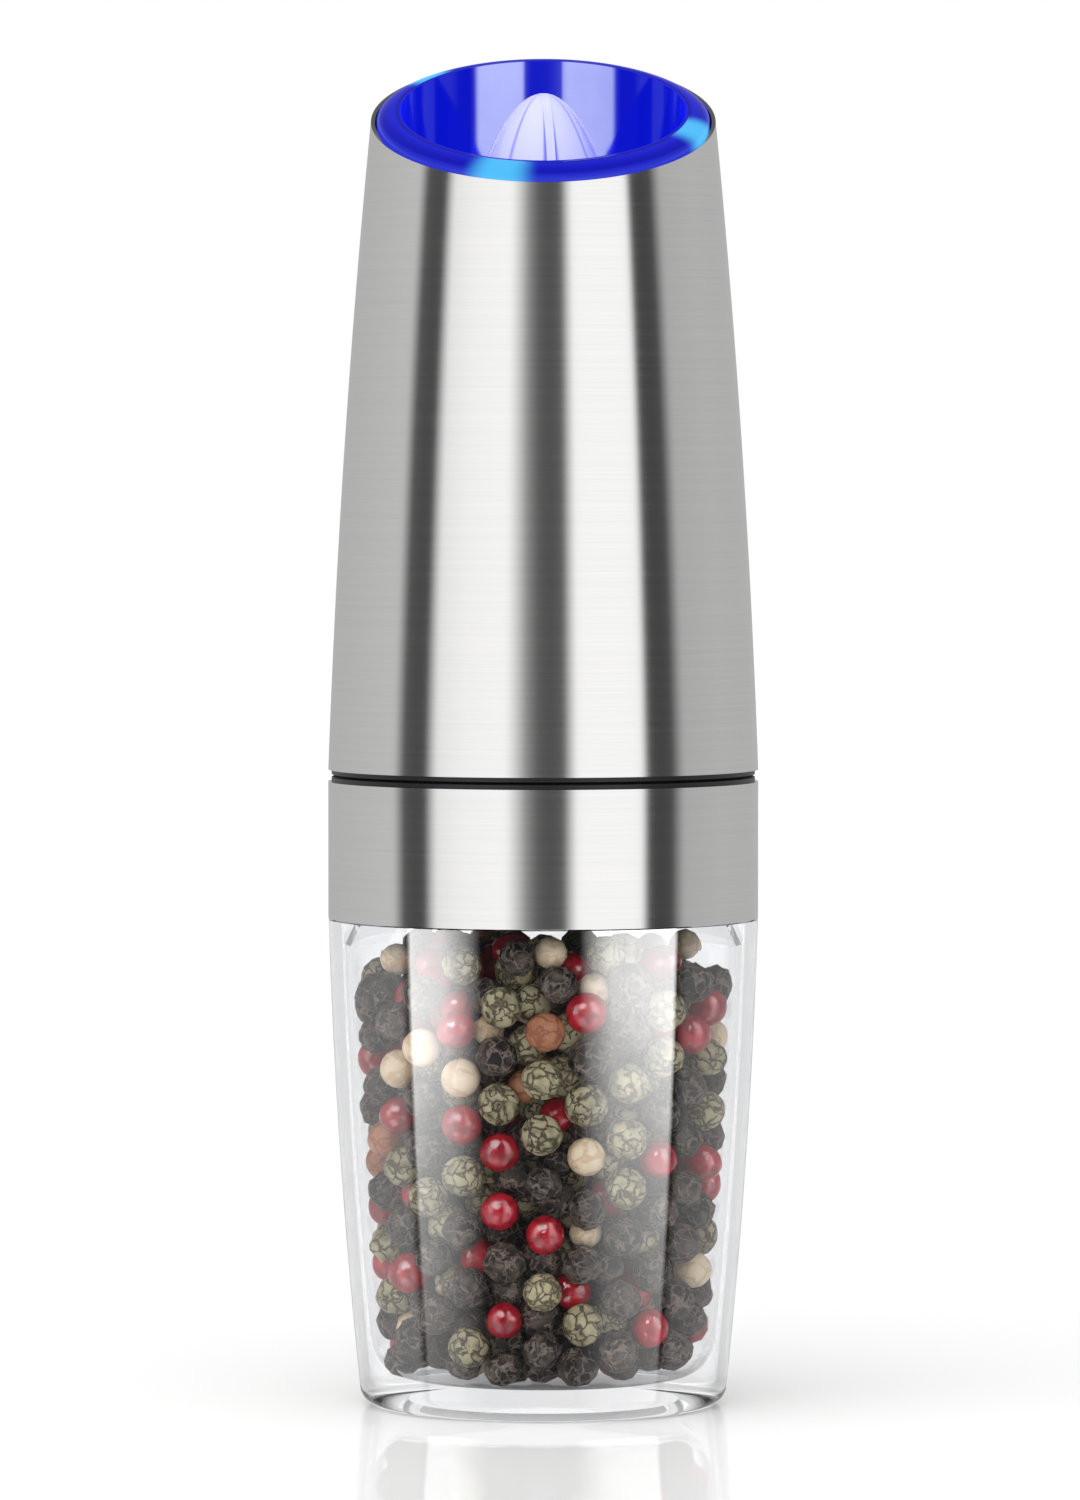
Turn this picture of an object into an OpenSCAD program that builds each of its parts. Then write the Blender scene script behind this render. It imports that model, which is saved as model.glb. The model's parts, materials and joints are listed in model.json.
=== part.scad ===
// Electric pepper mill that grinds when it is turned over. A clear jar of peppercorns is the foot,
// a steel band holds the grinder, and a tapered steel sleeve covers the motor and its cells.
// The ground pepper leaves through a slanted, lit mouth on top.
// Millimetres, +Z up, origin at the middle of the jar's foot. The low side of the mouth faces -Y.

/* [Outside] */
// Widest diameter, at the steel band
mill_d = 65.5; // [65:0.5:72]
// Height of the jar that shows below the band
jar_h = 74.3; // [64:0.1:84]
// Height of the steel band
band_h = 20.8; // [19:0.1:23]
// Height of the black seam ring
seam_h = 1.8; // [1.6:0.1:3]
// Height of the sleeve from the seam to the middle of its slanted edge
sleeve_h = 98.9; // [90:0.1:112]
// Width of the sleeve across its mouth
mouth_d = 52.3; // [50:0.1:56]
// Slant of the mouth, degrees
mouth_slant = 21; // [14:1:25]
// How far the sleeve bows out from a straight taper
sleeve_bulge = 0.76; // [0:0.01:1.5]
// Sheet thickness of the sleeve and the band
steel_t = 0.6; // [0.4:0.1:1]
// How far the seam ring lies below the steel
seam_recess = 0.5; // [0.3:0.1:0.8]

/* [Fits] */
// Gap between fixed pieces that sit in each other
fit_gap = 0.1; // [0.05:0.01:0.15]
// Gap between pieces that move past each other
run_gap = 0.3; // [0.25:0.05:0.5]
// Gap round a shaft in its bush
shaft_gap = 0.05; // [0.02:0.01:0.08]

/* [Jar] */
// Width of the jar at its foot
jar_base_d = 55.4; // [52:0.2:60]
// How far the jar's side bows out from a straight taper
jar_bulge = 0.72; // [0:0.02:1]
// Wall of the jar
jar_wall = 3.2; // [2.6:0.1:4]
// Floor of the jar
jar_floor = 4.2; // [3:0.1:6]
// Rounding of the foot
foot_round = 3; // [1.5:0.5:4]
// Rounding inside, where the wall meets the floor
floor_round = 6; // [4:0.5:8]
// Width of the hollow under the foot
foot_hollow_d = 40; // [30:1:44]
// Depth of the hollow under the foot
foot_hollow = 0.8; // [0.4:0.1:1.5]
// Height of the neck inside the band
neck_h = 9.5; // [8:0.1:10.5]
// Wall of the neck
neck_wall = 2.4; // [2:0.1:3]
// Height over which the wall draws in to the neck
shoulder_h = 4; // [3:0.1:4.6]
// Gap between the jar's shoulder and the band
seat_gap = 0.2; // [0.1:0.05:0.3]
// Thickness of the seal on the neck
seal_h = 1.5; // [1:0.1:2]
// Level of the peppercorns at the wall, below the shoulder
fill_drop = 5; // [4.6:0.1:30]
// How far the heap of peppercorns is higher in the middle
fill_crown = 2; // [1:0.1:2.6]
// Usual diameter of a peppercorn
corn_d = 6; // [5:0.1:6.6]

/* [Grinder] */
// Wall of the grinder housing
housing_wall = 1.8; // [1.4:0.1:2.2]
// Rise of the hopper from the neck to the burr
hopper_rise = 3; // [2:0.1:4]
// Lip under the fixed burr
burr_lip = 1.5; // [1:0.1:2]
// Width of the fixed burr
stator_d = 36; // [34:0.2:38]
// Height of the fixed burr
stator_h = 10.5; // [9:0.1:12]
// Inlet of the fixed burr
inlet_d = 25; // [22:0.2:26]
// Wide end of the turning burr
rotor_d = 28; // [25.4:0.2:30]
// Narrow end of the turning burr
rotor_tip_d = 13; // [12:0.2:15]
// Height of the turning burr
rotor_h = 13; // [12:0.1:15]
// Gap between the burrs at the outlet, at the finest setting
burr_gap = 0.5; // [0.4:0.05:0.8]
// Flutes on the turning burr
rotor_flutes = 12; // [8:1:16]
// Depth of a flute
flute_depth = 1.3; // [0.8:0.1:1.8]
// Slope of the flutes, degrees
flute_skew = 24; // [10:1:32]
// Grooves in the fixed burr
stator_grooves = 20; // [12:1:24]
// Depth of a groove
groove_depth = 1; // [0.6:0.1:1.4]
// Diameter of the drive shaft
shaft_d = 5; // [4.4:0.1:5.6]
// Depth of each flat on the drive shaft
shaft_flat = 0.5; // [0.3:0.1:0.8]
// Diameter of the coarseness knob
knob_d = 15; // [13:0.5:18]
// Height of the coarseness knob
knob_h = 7.5; // [6.5:0.1:8.5]
// Finger hollows round the knob
knob_grips = 8; // [5:1:10]
// Lift of the burr in one turn of the knob
knob_pitch = 1.25; // [0.8:0.05:1.6]
// Turn of the knob from fine to coarse, degrees
knob_turn = 270; // [180:10:330]
// Wire of the burr's spring
spring_wire = 0.7; // [0.5:0.05:0.8]
// Middle diameter of the burr's spring
spring_d = 8.2; // [7.4:0.1:9]
// Turns of the burr's spring
spring_turns = 4.5; // [3.5:0.5:4.5]
// Depth of the spring's pocket in the burr
spring_pocket = 5; // [4.6:0.1:6]

/* [Gearbox] */
// Gear module
gear_module = 0.45; // [0.4:0.01:0.47]
// Teeth of the sun pinion
sun_teeth = 12; // [12, 15]
// Teeth of each planet
planet_teeth = 18; // [15, 18]
// Face width of the gears
gear_face = 5; // [4:0.1:7]
// Thinning of each tooth for play
gear_play = 0.05; // [0.03:0.01:0.08]
// Wall of the ring gear outside its teeth
ring_wall = 0.8; // [0.7:0.1:1.2]
// Thickness of the planet carrier
carrier_t = 2; // [1.6:0.1:3]
// Diameter of the planets' pins
pin_d = 2.4; // [2:0.1:2.8]
// Thickness of the gearbox cover
cover_t = 1.8; // [1.4:0.1:2.4]
// Wall of the shaft's bush
bush_wall = 1.4; // [1:0.1:2]
// Thickness of the motor's mounting plate
motor_plate_t = 1.2; // [1:0.1:2]

/* [Motor] */
// Diameter of the motor
motor_d = 24.2; // [23:0.1:25.4]
// Length of the motor's can
motor_l = 30.8; // [28:0.1:34]
// Sheet of the motor's can
can_t = 1; // [0.8:0.1:1.2]
// Diameter of the motor's shaft
motor_shaft_d = 2; // [1.8:0.1:2.3]
// Thickness of the magnets
magnet_t = 1.5; // [1.2:0.1:1.8]
// Length of the armature's stack
stack_l = 15; // [12:0.5:16]
// Wall of the motor housing
motor_wall = 1; // [0.8:0.1:1.3]
// Webs that hold the motor housing
web_count = 4; // [3:1:6]
// Thickness of a web
web_t = 1.6; // [1.2:0.1:2]

/* [Cells] */
// Diameter of a cell
cell_d = 10.5; // [10:0.1:11]
// Length of a cell
cell_l = 44.5; // [42:0.1:46]
// Number of cells
cell_count = 6; // [3:1:6]
// Height of a cell's contact spring as it is pressed
cell_spring_h = 3.2; // [3:0.1:4]
// Wire of the contact springs
cell_wire = 0.6; // [0.5:0.05:0.7]
// Turns of a contact spring
cell_turns = 2.5; // [2:0.5:2.5]
// Thickness of the contact plates
plate_t = 0.4; // [0.3:0.1:0.6]
// Floor and top of the cage
cage_plate = 2; // [1.6:0.1:3]
// Wall of the cage's tube, round the pepper channel
tube_t = 1; // [0.8:0.1:1.2]

/* [Mouth] */
// Width of the lit ring at the mouth's sides
lip_w = 3.6; // [3:0.1:4.2]
// How far the lit ring stands above the steel
lip_proud = 1.2; // [1:0.1:2]
// How far the lit ring reaches below the steel's edge
lip_depth = 3; // [2:0.1:4]
// Wall of the outlet funnel
funnel_wall = 1.3; // [1:0.1:1.5]
// Thickness of the funnel's rim inside the lit ring
rim_t = 0.5; // [0.4:0.1:0.8]
// Height over which the funnel widens
funnel_rise = 22; // [18:0.5:24]
// Height of the ribbed cone
cone_h = 25.3; // [22:0.1:31]
// How far the cone's tip is above the middle of the steel's edge
cone_rise = 3.8; // [3:0.1:8]
// Wall of the cone
cone_wall = 1.4; // [1:0.1:2]
// Ribs on the cone
rib_count = 4; // [3:1:6]
// Thickness of a rib
rib_t = 1.3; // [1:0.1:1.8]
// How far a rib stands out at the cone's foot
rib_out = 1; // [0.6:0.1:1.4]
// Turn of the ribs from the mouth's low side, degrees
rib_turn = 8; // [0:1:30]

/* [Electronics] */
// Thickness of the control board
board_t = 1.2; // [0.8:0.1:1.6]
// Space between the motor and the control board
board_rise = 7; // [6:0.5:9]
// Diameter of the tilt switch's ball
ball_d = 4; // [3:0.1:4.4]
// Travel of the tilt switch's ball
ball_travel = 4; // [3:0.1:5]
// Height of the light strip
strip_h = 4; // [3:0.5:5]
// Thickness of the light strip
strip_t = 0.3; // [0.2:0.1:0.4]

/* [Screws] */
// Shank of the screws
screw_d = 2.2; // [2:0.1:2.4]
// Head of the screws
screw_head_d = 4.4; // [4:0.1:5]
// Height of a screw's head
screw_head_h = 1.5; // [1.2:0.1:1.8]
// Plastic round a screw's hole
boss_wall = 1.3; // [1:0.1:1.6]

/* [Hidden] */
$fn = 96;

// Outer levels and radii
mill_r = mill_d / 2;
mouth_r = mouth_d / 2;
jar_base_r = jar_base_d / 2;
band_z1 = jar_h + band_h;
sleeve_z0 = band_z1 + seam_h;
cut_z = sleeve_z0 + sleeve_h;
mill_h = cut_z + mouth_r * tan(mouth_slant) + lip_proud / cos(mouth_slant);
span = 2 * mill_d;
// How far a cutting shape runs past the face it cuts
over = 1;

// A side that runs from one radius to another and bows out between them
function mix(a, b, t) = a + (b - a) * t;
function bowed(r0, r1, z0, z1, bulge, z) =
    let (t = (z - z0) / (z1 - z0)) mix(r0, r1, t) + 4 * bulge * t * (1 - t);
function sleeve_r(z) = bowed(mill_r, mouth_r, sleeve_z0, cut_z, sleeve_bulge, z);
function sleeve_in(z) = sleeve_r(z) - steel_t;
function jar_r(z) = bowed(jar_base_r, mill_r, 0, jar_h, jar_bulge, z);
function jar_in(z) = jar_r(z) - jar_wall;

// Points along a line or an arc, without the first one
function steps(a, b, n) = [for (i = [1:n]) mix(a, b, i / n)];
function polar(r, a) = [r * cos(a), r * sin(a)];
function arc(c, r, a0, a1, n) = [for (a = steps(a0, a1, n)) c + polar(r, a)];
arc_n = 6;
side_n = 10;

// Jar and grinder levels
housing_r = mill_r - steel_t - fit_gap;
socket_r = housing_r - housing_wall;
neck_r = socket_r - run_gap;
neck_in = neck_r - neck_wall;
neck_z1 = jar_h + neck_h;
socket_z = neck_z1 + seal_h;
fill_z = jar_h - fill_drop;
inlet_r = inlet_d / 2;
stator_r = stator_d / 2;
stator_seat_r = stator_r + fit_gap;
stator_z0 = socket_z + hopper_rise + burr_lip;
stator_z1 = stator_z0 + stator_h;
throat_r = stator_seat_r + housing_wall;

// Turning burr, shaft and knob
rotor_r = rotor_d / 2;
rotor_tip_r = rotor_tip_d / 2;
rotor_z1 = stator_z1 - burr_gap;
rotor_z0 = rotor_z1 - rotor_h;
rotor_travel = knob_pitch * knob_turn / 360;
rotor_slope = atan((rotor_r - rotor_tip_r) / rotor_h);
bore_top_r = rotor_r + burr_gap;
bore_slope = atan((bore_top_r - inlet_r) / stator_h);
shaft_r = shaft_d / 2;
knob_z1 = rotor_z0 - fit_gap;
knob_z0 = knob_z1 - knob_h;
knob_r = knob_d / 2;
knob_skin = 2;
shaft_z0 = knob_z0 + knob_skin + rotor_travel + run_gap;
spring_r = spring_d / 2;
spring_z0 = rotor_z1 - spring_pocket;

// Gearbox levels and radii
cover_z0 = rotor_z1 + rotor_travel + 2 * run_gap;
cover_z1 = cover_z0 + cover_t;
bush_r = shaft_r + shaft_gap + bush_wall;
carrier_z0 = cover_z1 + run_gap;
carrier_z1 = carrier_z0 + carrier_t;
planet_z0 = carrier_z1 + run_gap;
planet_z1 = planet_z0 + gear_face;
pin_r = pin_d / 2;
pin_end = 0.5;
motor_head_h = 1.2;
motor_plate_z0 = planet_z1 + pin_end + run_gap + motor_head_h;
motor_z0 = motor_plate_z0 + motor_plate_t;
motor_z1 = motor_z0 + motor_l;
pressure = 25;
addendum = 0.9 * gear_module;
dedendum = 1.2 * gear_module;
planet_count = 3;
ring_teeth = sun_teeth + 2 * planet_teeth;
planet_arm = gear_module * (sun_teeth + planet_teeth) / 2;
ring_pitch_r = gear_module * ring_teeth / 2;
ring_tip_r = ring_pitch_r - addendum;
ring_out_r = ring_pitch_r + dedendum + ring_wall;
// A planet shows a gap to the sun, and the ring's teeth follow from the planet's count
planet_phase = planet_teeth % 2 == 0 ? 180 / planet_teeth : 0;
ring_phase = planet_teeth % 2 == 0 ? 180 / ring_teeth : 0;

// Motor and its housing
motor_r = motor_d / 2;
can_in = motor_r - can_t;
motor_shaft_r = motor_shaft_d / 2;
housing_in = max(motor_r, ring_out_r) + fit_gap;
housing_out = housing_in + motor_wall;
bell_h = 2;
bell_z1 = motor_z1 + bell_h;
bearing_r = motor_shaft_r + 2;
magnet_in = can_in - fit_gap - magnet_t;
armature_r = magnet_in - run_gap;
stack_rise = 7;
stack_z0 = motor_z0 + stack_rise;
stack_z1 = stack_z0 + stack_l;
comm_gap = 2;
comm_z0 = stack_z1 + comm_gap;
comm_h = 4;
comm_r = motor_shaft_r + 2;
brush_rise = 0.6;
brush_w = 2.4;
brush_l = 1.6;
brush_arm_t = 0.6;
slot_count = 3;
// The slots keep their share of the armature, so they stay inside it
slot_r = armature_r * 0.28;
slot_arm = armature_r * 0.62;
screw_arm = (ring_tip_r + gear_module * sun_teeth / 2) / 2;
motor_head_r = 1.7;
motor_screw_r = 1;
motor_screw_end = 1;
board_z0 = bell_z1 + board_rise;
board_z1 = board_z0 + board_t;
ledge = 1.2;
terminal_arm = motor_r * 0.58;
terminal_w = 2.2;
terminal_t = 0.5;
terminal_h = 4;
lead_r = 0.6;

// Battery cage
plate_z0 = stator_z1;
plate_z1 = plate_z0 + cage_plate;
bay_h = cell_l + cell_spring_h + 2 * plate_t;
flange_z0 = plate_z1 + bay_h;
flange_z1 = flange_z0 + cage_plate;
flange_r = sleeve_in(flange_z1) - run_gap;
cell_r = cell_d / 2;
cell_ring = flange_r - cell_r - fit_gap;
tube_out = cell_ring - cell_r - fit_gap;
tube_in = tube_out - tube_t;
// The cage's floor laps over the fixed burr and holds it down
stator_lap = 1;
plate_in = min(tube_in, stator_r - stator_lap);
collar_h = 5;
collar_t = 1.6;
collar_z1 = sleeve_z0 + collar_h;
collar_out = sleeve_in(collar_z1) - fit_gap;
collar_in = collar_out - collar_t;
cage_r = collar_in - run_gap;
skirt_t = 1.8;
screw_r = screw_d / 2;
head_r = screw_head_d / 2;
boss_r = head_r + fit_gap + boss_wall;
housing_screw_arm = (throat_r + cage_r - skirt_t) / 2;
screw_grip = 3.5;
screw_seat = band_z1 - screw_grip;
screw_end = 0.5;
screw_count = 3;
bay_angle = 360 / cell_count;
web_foot = 8;
web_head = 6;
web_z0 = plate_z1 + web_foot;
web_z1 = flange_z0 - web_head;
web_turn = 45;

// Mouth
bore_r = mouth_r - steel_t - run_gap - lip_w;
funnel_out = bore_r + funnel_wall;
funnel_flange_r = flange_r - cage_plate;
funnel_foot = 1.5;
knee_z = flange_z1 + funnel_rise;
funnel_screw_arm = (tube_in + funnel_wall + funnel_flange_r) / 2;
funnel_screw_boss = 5;
funnel_screw_end = 1.5;
cone_z1 = cut_z + cone_rise;
cone_z0 = cone_z1 - cone_h;
strip_out = funnel_out + fit_gap + strip_t;
led_angles = [-8, 140, 257];
led_w = 2.4;
led_t = 0.7;
led_h = 1.2;
ring_n = 72;
lip_n = 9;

// Shapes that repeat

module tube(r_out, r_in, z0, z1) {
    rotate_extrude() translate([r_in, z0]) square([r_out - r_in, z1 - z0]);
}

module disc(r, z0, z1) {
    translate([0, 0, z0]) cylinder(r = r, h = z1 - z0);
}

module round_row(count, start = 0) {
    for (i = [0:count - 1]) rotate([0, 0, start + 360 * i / count]) children();
}

// Slab along the slanted mouth, between two heights above the steel's edge
module mouth_slab(n0, n1) {
    translate([0, 0, cut_z]) rotate([mouth_slant, 0, 0])
        translate([-span / 2, -span / 2, n0]) cube([span, span, n1 - n0]);
}

// Round bar with two flats
module flat_bar(r, flat, z0, z1) {
    intersection() {
        disc(r, z0, z1);
        translate([-r, flat - r, z0]) cube([2 * r, 2 * (r - flat), z1 - z0]);
    }
}

// Straight prism with a V section, its edge towards -X, that lies along a cone
module v_prism(depth, length) {
    linear_extrude(height = length, center = true)
        polygon([[-depth, 0], [2 * depth, -2.2 * depth], [2 * depth, 2.2 * depth]]);
}

// Wire wound from one radius to another, as one unbroken tube
coil_rings = 8;
coil_sides = 6;
function coil_point(r0, r1, z0, z1, turns, t) =
    let (a = 360 * turns * t, r = mix(r0, r1, t)) [r * cos(a), r * sin(a), mix(z0, z1, t)];
function coil_ring(r0, r1, z0, z1, turns, wire, t) =
    let (
        step = 0.001,
        p = coil_point(r0, r1, z0, z1, turns, t),
        q = coil_point(r0, r1, z0, z1, turns, t + step),
        along = (q - p) / norm(q - p),
        out = [cos(360 * turns * t), sin(360 * turns * t), 0],
        u = (out - (out * along) * along) / norm(out - (out * along) * along),
        v = cross(along, u)
    )
    [for (j = [0:coil_sides - 1]) p + wire / 2 * (cos(60 * j) * u + sin(60 * j) * v)];
// Least gap between the wire and itself one turn on
function coil_gap(r0, r1, z0, z1, turns, wire) =
    min([for (t = steps(0, 1 - 1 / turns, 20))
        norm(coil_point(r0, r1, z0, z1, turns, t + 1 / turns)
            - coil_point(r0, r1, z0, z1, turns, t))]) - wire;

module coil(r0, r1, z0, z1, turns, wire) {
    n = ceil(turns * coil_rings);
    m = coil_sides;
    points = [for (i = [0:n]) each coil_ring(r0, r1, z0, z1, turns, wire, i / n)];
    sides = [for (i = [0:n - 1], j = [0:m - 1])
        let (a = i * m + j, b = i * m + (j + 1) % m)
        each [[a, a + m, b + m], [a, b + m, b]]];
    ends = [for (j = [1:m - 2]) each [[0, j, j + 1], [n * m, n * m + j + 1, n * m + j]]];
    polyhedron(points, concat(sides, ends), convexity = 6);
}

// Involute gear outline
flank_n = 3;
function involute(a) = tan(a) * 180 / PI - a;
function tooth_half(teeth, thin, r) =
    let (
        pitch_r = gear_module * teeth / 2,
        base_r = pitch_r * cos(pressure),
        a = r > base_r ? acos(base_r / r) : 0
    )
    90 / teeth - thin / pitch_r * 90 / PI + involute(pressure) - involute(a);
function flank(teeth, root, tip) =
    let (low = max(root, gear_module * teeth / 2 * cos(pressure)))
    concat(root < low ? [root, low] : [root], steps(low, tip, flank_n));
function gear_outline(teeth, root, tip, thin) =
    let (f = flank(teeth, root, tip), n = len(f) - 1)
    [for (k = [0:teeth - 1]) each concat(
        [for (i = [0:n]) polar(f[i], 360 * k / teeth - tooth_half(teeth, thin, f[i]))],
        [for (i = [n:-1:0]) polar(f[i], 360 * k / teeth + tooth_half(teeth, thin, f[i]))]
    )];

module spur_gear(teeth, bore_r, z0, z1) {
    pitch_r = gear_module * teeth / 2;
    difference() {
        translate([0, 0, z0]) linear_extrude(height = z1 - z0)
            polygon(gear_outline(teeth, pitch_r - dedendum, pitch_r + addendum, gear_play));
        disc(bore_r, z0 - over, z1 + over);
    }
}

// Pan-head screw along +Z, its head below the seat
module screw(r, seat_z, end_z, cap_r, cap_h) {
    union() {
        disc(r, seat_z, end_z);
        disc(cap_r, seat_z - cap_h, seat_z);
    }
}

// Jar

module pepper_jar() {
    foot_c = [jar_r(foot_round) - foot_round, foot_round];
    floor_c = [jar_in(jar_floor + floor_round) - floor_round, jar_floor + floor_round];
    foot = [[0, foot_hollow], [foot_hollow_d / 2, foot_hollow], [foot_hollow_d / 2 + foot_hollow, 0]];
    side = [for (z = steps(foot_round, jar_h - seat_gap, side_n)) [jar_r(z), z]];
    edge = neck_wall / 4;
    neck = [
        [neck_r, jar_h - seat_gap], [neck_r, neck_z1 - edge], [neck_r - edge, neck_z1],
        [neck_in + edge, neck_z1], [neck_in, neck_z1 - edge], [neck_in, jar_h],
    ];
    inner_z1 = jar_h - shoulder_h;
    inner = [for (z = steps(inner_z1, floor_c.y, side_n)) [jar_in(z), z]];
    color([0.9, 0.93, 0.95, 0.35]) rotate_extrude() polygon(concat(
        foot, [[foot_c.x, 0]], arc(foot_c, foot_round, -90, 0, arc_n), side, neck,
        [[jar_in(inner_z1), inner_z1]], inner, arc(floor_c, floor_round, 0, -90, arc_n), [[0, jar_floor]]
    ));
}

// Whole peppercorns lie along the wall, on top and on the floor, round a core of those behind them.
// Along the wall they wind upwards, evenly spread, and their sizes and places change a little.
corn_pitch = 1.17 * corn_d;
ring_pitch = 1.3 * corn_d;
corn_turn = 165;
corn_vary = 0.05;
corn_sway = 0.7;
corn_shift = 0.1 * corn_d;
corn_sunk = 0.05 * corn_d;
core_sides = 12;
function wobble(k) = sin(137.508 * k * k);
function corn_r(k) = corn_d / 2 * (1 + corn_vary * wobble(k));
function corn_reach(c, r, z) =
    z > c.y ? jar_in(z) - run_gap - r
    : c.x + sqrt(max(0, pow(floor_round - run_gap - r, 2) - pow(c.y - z, 2)));
function ring_count(reach) = floor(2 * PI * reach / ring_pitch);

module corn(reach, angle, z, r) {
    rotate([0, 0, angle]) translate([reach, 0, z]) rotate([0, 90, 0]) sphere(r = r);
}

module peppercorn_fill() {
    floor_z = jar_floor + run_gap;
    corner = [jar_in(jar_floor + floor_round) - floor_round, jar_floor + floor_round];
    top_r = jar_in(fill_z) - run_gap;
    usual = corn_d / 2;
    low_z = floor_z + usual * (1 + corn_vary) + corn_shift;
    high_z = fill_z - usual * (1 + corn_vary) - corn_shift;
    low_reach = corn_reach(corner, usual, low_z);
    top_reach = top_r - usual;
    count = floor(PI * (low_reach + top_reach) * (high_z - low_z) / pow(corn_pitch, 2));
    rings = floor(low_reach / ring_pitch);
    crown_z = fill_z + fill_crown;
    color([0.22, 0.17, 0.13]) union() {
        rotate_extrude($fn = core_sides) polygon([
            [0, low_z], [low_reach - corn_sunk, low_z],
            [corn_reach(corner, usual + corn_sunk, 2 * low_z), 2 * low_z],
            [corn_reach(corner, usual + corn_sunk, high_z), high_z], [0, crown_z - usual - corn_sunk],
        ]);
        // Along the wall
        for (k = [1:count])
            let (
                reach = sqrt(mix(pow(low_reach, 2), pow(top_reach, 2), k / count)),
                rise = (reach - low_reach) / (top_reach - low_reach),
                z = mix(low_z, high_z, rise) + corn_shift * wobble(2 * k),
                angle = corn_turn * k + corn_sway * wobble(3 * k)
            )
            corn(corn_reach(corner, corn_r(k), z), angle, z, corn_r(k));
        // On top and on the floor, ring by ring
        for (ring = [1:rings]) {
            heap = top_reach - ring * ring_pitch;
            heap_z = crown_z - fill_crown * pow(heap / top_r, 2);
            for (k = [1:ring_count(heap)])
                corn(heap, k * 360 / ring_count(heap), heap_z - corn_r(k), corn_r(k));
            bed = low_reach - ring * ring_pitch;
            for (k = [1:ring_count(bed)])
                corn(bed, k * 360 / ring_count(bed), floor_z + corn_r(k), corn_r(k));
        }
    }
}

module jar_seal() {
    color([0.2, 0.2, 0.21]) tube(neck_r, neck_in, neck_z1, socket_z);
}

// Grinder

module steel_band() {
    color([0.74, 0.74, 0.74]) tube(mill_r, mill_r - steel_t, jar_h, band_z1);
}

module grinder_housing() {
    pocket_z0 = socket_z + hopper_rise + housing_wall;
    pocket_in = throat_r + housing_wall;
    pocket_out = cage_r - skirt_t - housing_wall;
    color([0.1, 0.1, 0.11]) difference() {
        union() {
            difference() {
                rotate_extrude() polygon([
                    [socket_r, jar_h + run_gap], [housing_r, jar_h + run_gap],
                    [housing_r, band_z1], [throat_r, band_z1],
                    [throat_r, stator_z1], [stator_seat_r, stator_z1],
                    [stator_seat_r, stator_z0], [inlet_r, stator_z0],
                    [inlet_r, stator_z0 - burr_lip], [neck_in, socket_z], [socket_r, socket_z],
                ]);
                tube(pocket_out, pocket_in, pocket_z0, band_z1 + over);
            }
            // Ribs and screw bosses in the pocket
            round_row(2 * screw_count, 180 / screw_count / 2)
                translate([pocket_in - over, -housing_wall / 2, pocket_z0 - over])
                    cube([pocket_out - pocket_in + 2 * over, housing_wall, band_z1 - pocket_z0 + over]);
            round_row(screw_count, bay_angle / 2) translate([housing_screw_arm, 0, 0])
                disc(boss_r, pocket_z0 - over, band_z1);
        }
        round_row(screw_count, bay_angle / 2) translate([housing_screw_arm, 0, 0]) {
            disc(screw_r + fit_gap, socket_z - over, band_z1 + over);
            disc(head_r + fit_gap, socket_z - over, screw_seat);
        }
    }
}

module burr_stator() {
    color([0.88, 0.86, 0.8]) difference() {
        rotate_extrude() polygon([
            [inlet_r, stator_z0], [stator_r, stator_z0], [stator_r, stator_z1], [bore_top_r, stator_z1],
        ]);
        // Slanted grooves along the bore, their edges outwards
        round_row(stator_grooves)
            translate([(inlet_r + bore_top_r) / 2, 0, (stator_z0 + stator_z1) / 2])
                rotate([0, bore_slope, 0]) rotate([-flute_skew / 2, 0, 180])
                    v_prism(groove_depth, 2 * stator_h);
    }
}

module housing_screws() {
    color([0.7, 0.7, 0.72]) round_row(screw_count, bay_angle / 2) translate([housing_screw_arm, 0, 0])
        screw(screw_r, screw_seat, plate_z0 - screw_end, head_r, screw_head_h);
}

module burr_rotor() {
    color([0.92, 0.9, 0.85]) difference() {
        translate([0, 0, rotor_z0]) cylinder(r1 = rotor_tip_r, r2 = rotor_r, h = rotor_h);
        // Slanted flutes that draw the peppercorns up to the outlet
        round_row(rotor_flutes)
            translate([(rotor_tip_r + rotor_r) / 2, 0, (rotor_z0 + rotor_z1) / 2])
                rotate([0, rotor_slope, 0]) rotate([flute_skew, 0, 0])
                    v_prism(flute_depth, 2 * rotor_h);
        flat_bar(shaft_r + shaft_gap, shaft_flat, rotor_z0 - over, rotor_z1 + over);
        disc(spring_r + spring_wire / 2 + 2 * run_gap, spring_z0, rotor_z1 + over);
    }
}

spring_low = spring_z0 + fit_gap + spring_wire / 2;
spring_high = cover_z0 - fit_gap - spring_wire / 2;

module rotor_spring() {
    echo(rotor_spring_gap = coil_gap(spring_r, spring_r, spring_low, spring_high, spring_turns, spring_wire));
    color([0.72, 0.72, 0.74]) coil(spring_r, spring_r, spring_low, spring_high, spring_turns, spring_wire);
}

module grind_knob() {
    grip_r = knob_r * 0.22;
    bevel = 0.8;
    color([0.13, 0.13, 0.14]) difference() {
        rotate_extrude() polygon([
            [0, knob_z0], [knob_r - bevel, knob_z0], [knob_r, knob_z0 + bevel],
            [knob_r, knob_z1 - bevel], [rotor_tip_r, knob_z1], [0, knob_z1],
        ]);
        round_row(knob_grips) translate([knob_r + grip_r * 0.55, 0, 0])
            disc(grip_r, knob_z0 - over, knob_z1 + over);
        disc(shaft_r + shaft_gap, knob_z0 + knob_skin, knob_z1 + over);
    }
}

// Gear train

module drive_shaft() {
    color([0.66, 0.66, 0.68]) flat_bar(shaft_r, shaft_flat, shaft_z0, carrier_z1);
}

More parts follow.
